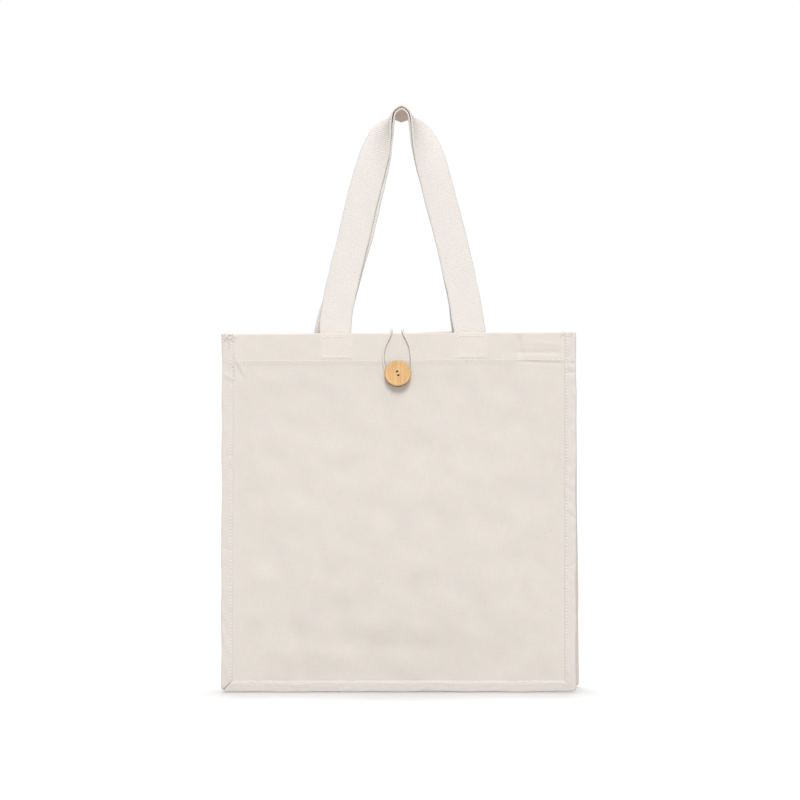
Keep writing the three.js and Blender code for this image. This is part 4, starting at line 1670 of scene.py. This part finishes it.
@dataclass
class Sewing:
    """The rows of stitches on one face of the bag."""

    form: BagForm
    panel: Panel
    binding: Binding
    stitch: Stitch = field(default_factory=Stitch)
    box_inset: float = 2.4

    def on_panel(self, x: Array, down: Array) -> Surface:
        """A row of stitches along a line on the panel's outer face."""
        face = self.panel.face(x, down) + self.panel.half
        line = np.stack([x, self.panel.side.value * face, self.panel.lift(x, down) - down], axis=-1)
        outward = np.broadcast_to([0.0, float(self.panel.side.value), 0.0], line.shape)
        return self.stitch.row(line, outward)

    def box(self, foot: float) -> list[Surface]:
        """The rectangle of stitches that holds one end of a handle."""
        reach = self.panel.foot_width / 2 - self.box_inset
        top, low = 3.2, self.form.hem_line - 3.4
        across, fall = np.linspace(-reach, reach, 30), np.linspace(top, low, 30)
        return [
            self.on_panel(foot + across, top + 0 * across),
            self.on_panel(foot + across, low + 0 * across),
            self.on_panel(foot - reach + 0 * fall, fall),
            self.on_panel(foot + reach + 0 * fall, fall),
        ]

    def fray(self, corner: Fray) -> list[Surface]:
        """Loose thread ends that curl out of a raw corner.

        Each is a short walk whose heading turns by a random amount at every step.

        Args:
            corner: Where they are and how many.

        Returns:
            The threads.
        """
        rng = np.random.default_rng(corner.seed)
        steps = 7
        threads = []
        for _ in range(corner.count):
            start = rng.uniform((corner.low[0], corner.low[1]), (corner.high[0], corner.high[1]))
            heading = rng.uniform(0, math.tau) + np.cumsum(rng.normal(0, 0.75, steps))
            stride = corner.length * rng.uniform(0.6, 1.3) / steps
            x = start[0] + np.cumsum(np.cos(heading)) * stride
            down = start[1] + np.cumsum(np.sin(heading)) * stride
            proud = 2.7 + 0.5 * np.sin(np.linspace(0.2, math.pi, steps)) + rng.uniform(0, 0.5)
            depth = self.form.half_depth(down) + proud
            line = Route(np.stack([x, self.panel.side.value * depth, -down], axis=1), 4).line
            threads.append(tube(line, corner.thick / 2, 6))
        return threads

    def build(self, wardrobe: Wardrobe, corners: Sequence[Fray] = ()) -> bpy.types.Object:
        """Makes all the stitches and loose threads of this face as one piece."""
        form = self.form
        across = np.linspace(-form.root_x + 1, form.root_x - 1, 400)
        rows = [self.on_panel(across, form.hem_line + 0 * across)]
        for foot in self.panel.feet:
            rows += self.box(foot)
        rows += [self.binding.stitch_line(run) for run in Run]
        for corner in corners:
            rows += self.fray(corner)
        surface = rows[0].joined(*rows[1:]).moved(form.hung)
        piece = write_piece(f"{self.panel.side.label}_stitches", surface)
        wardrobe.dress(piece, SEWING)
        return piece


FRONT_DENTS = (
    Dent(-0.66, 0.76, 0.1, 0.2, -0.45, 4), Dent(-0.52, 0.72, 0.09, 0.22, 0.5, 3),
    Dent(-0.38, 0.77, 0.1, 0.19, -0.6, -3), Dent(0.34, 0.43, 0.34, 0.05, 0.4, -9),
    Dent(0.62, 0.55, 0.14, 0.12, -0.5, 20), Dent(0.8, 0.3, 0.08, 0.07, -0.3, 35),
    Dent(0.1, 0.9, 0.7, 0.04, -0.5, 1),
)
BACK_DENTS = (
    Dent(0.55, 0.7, 0.11, 0.2, -0.5, -5), Dent(-0.3, 0.5, 0.3, 0.07, 0.5, 12),
    Dent(-0.6, 0.8, 0.1, 0.16, -0.4, 6), Dent(0, 0.91, 0.7, 0.04, -0.4, 0),
)
FRONT_CREASES = (
    Crease((-162.5, 27), (-155, 43), 1.1, -1.1), Crease((-159, 27), (-151, 42), 1.6, 0.6),
    Crease((114, 19), (160, 19.5), 1.7, -0.8), Crease((118, 28.5), (163, 30), 1.6, -0.8),
    Crease((128, 9), (160, 12), 2.5, 0.35), Crease((118, 3), (120, 24), 1.9, -2.0),
    Crease((114, 3), (115, 24), 1.6, 0.5),
)
FRONT_WRINKLES = (
    (Run.LEFT, Crease((11, 38), (-2, 46), 1.3, 0.5)), (Run.LEFT, Crease((10, 44), (0, 50), 1.2, -0.4)),
    (Run.LEFT, Crease((1, 120), (10, 123), 1.5, -0.35)), (Run.LEFT, Crease((10, 210), (1, 214), 1.4, -0.3)),
    (Run.RIGHT, Crease((1, 29.5), (11, 30.5), 1.0, -0.6)),
    (Run.RIGHT, Crease((1, 39), (11, 39.5), 1.0, -0.6)), (Run.RIGHT, Crease((1, 34.5), (11, 35), 1.6, 0.4)),
    (Run.RIGHT, Crease((1, 150), (11, 158), 1.6, -0.4)), (Run.RIGHT, Crease((1, 175), (11, 184), 1.6, -0.4)),
    (Run.RIGHT, Crease((1, 230), (11, 226), 1.6, -0.35)),
    (Run.BASE, Crease((1, -60), (10, -54), 1.5, -0.3)), (Run.BASE, Crease((1, 95), (10, 90), 1.5, -0.3)),
)
FRONT_FRAYS = (
    Fray((-170, -1.5), (-163, 6), 22, 7.0, 0.36, 5), Fray((-164, 14), (-162, 34), 9, 4.0, 0.3, 9),
    Fray((162, -0.5), (171, 1.5), 6, 5.0, 0.3, 13),
)
BACK_CREASES = (Crease((-150, 20), (-112, 22), 2.0, -0.6), Crease((150, 30), (138, 46), 2.0, -0.5))


def main() -> None:
    """Builds the bag's sub-assemblies in order."""
    logging.basicConfig(level=logging.INFO, format="%(message)s")
    form = BagForm.from_frame()
    wardrobe = Wardrobe()
    studio = Studio()
    studio.place_camera()
    front = Panel(form, Side.FRONT, FRONT_DENTS, FRONT_CREASES, feet=(-62.2, 71.8))
    back = Panel(
        form, Side.BACK, BACK_DENTS, BACK_CREASES, feet=(-67.9, 69.1), rim_lift=(1.9, 50.0, 36.0), seed=7,
    )
    fastening = Fastening(form, front)
    fastening.build_elastic(wardrobe)
    handles = Handles(form)
    for side in Side:
        handles.build(side, wardrobe)
    for panel in (front, back):
        panel.build(wardrobe)
    gusset = Gusset(form)
    for run in Run:
        gusset.build(run, wardrobe)
    for panel in (front, back):
        shown = panel.side is Side.FRONT
        wrinkles = FRONT_WRINKLES if shown else ()
        binding = Binding(
            form, side=panel.side, wrinkles=wrinkles, seed=21 if shown else 61, opened=0.1 * shown,
            along=430 if shown else 370,
        )
        for run in Run:
            binding.build(run, wardrobe)
        Sewing(form, panel, binding).build(wardrobe, FRONT_FRAYS if shown else ())
    fastening.build_button(wardrobe)
    fastening.build_thread(wardrobe)
    studio.lay_floor()
    studio.light()


if __name__ == "__main__":
    main()
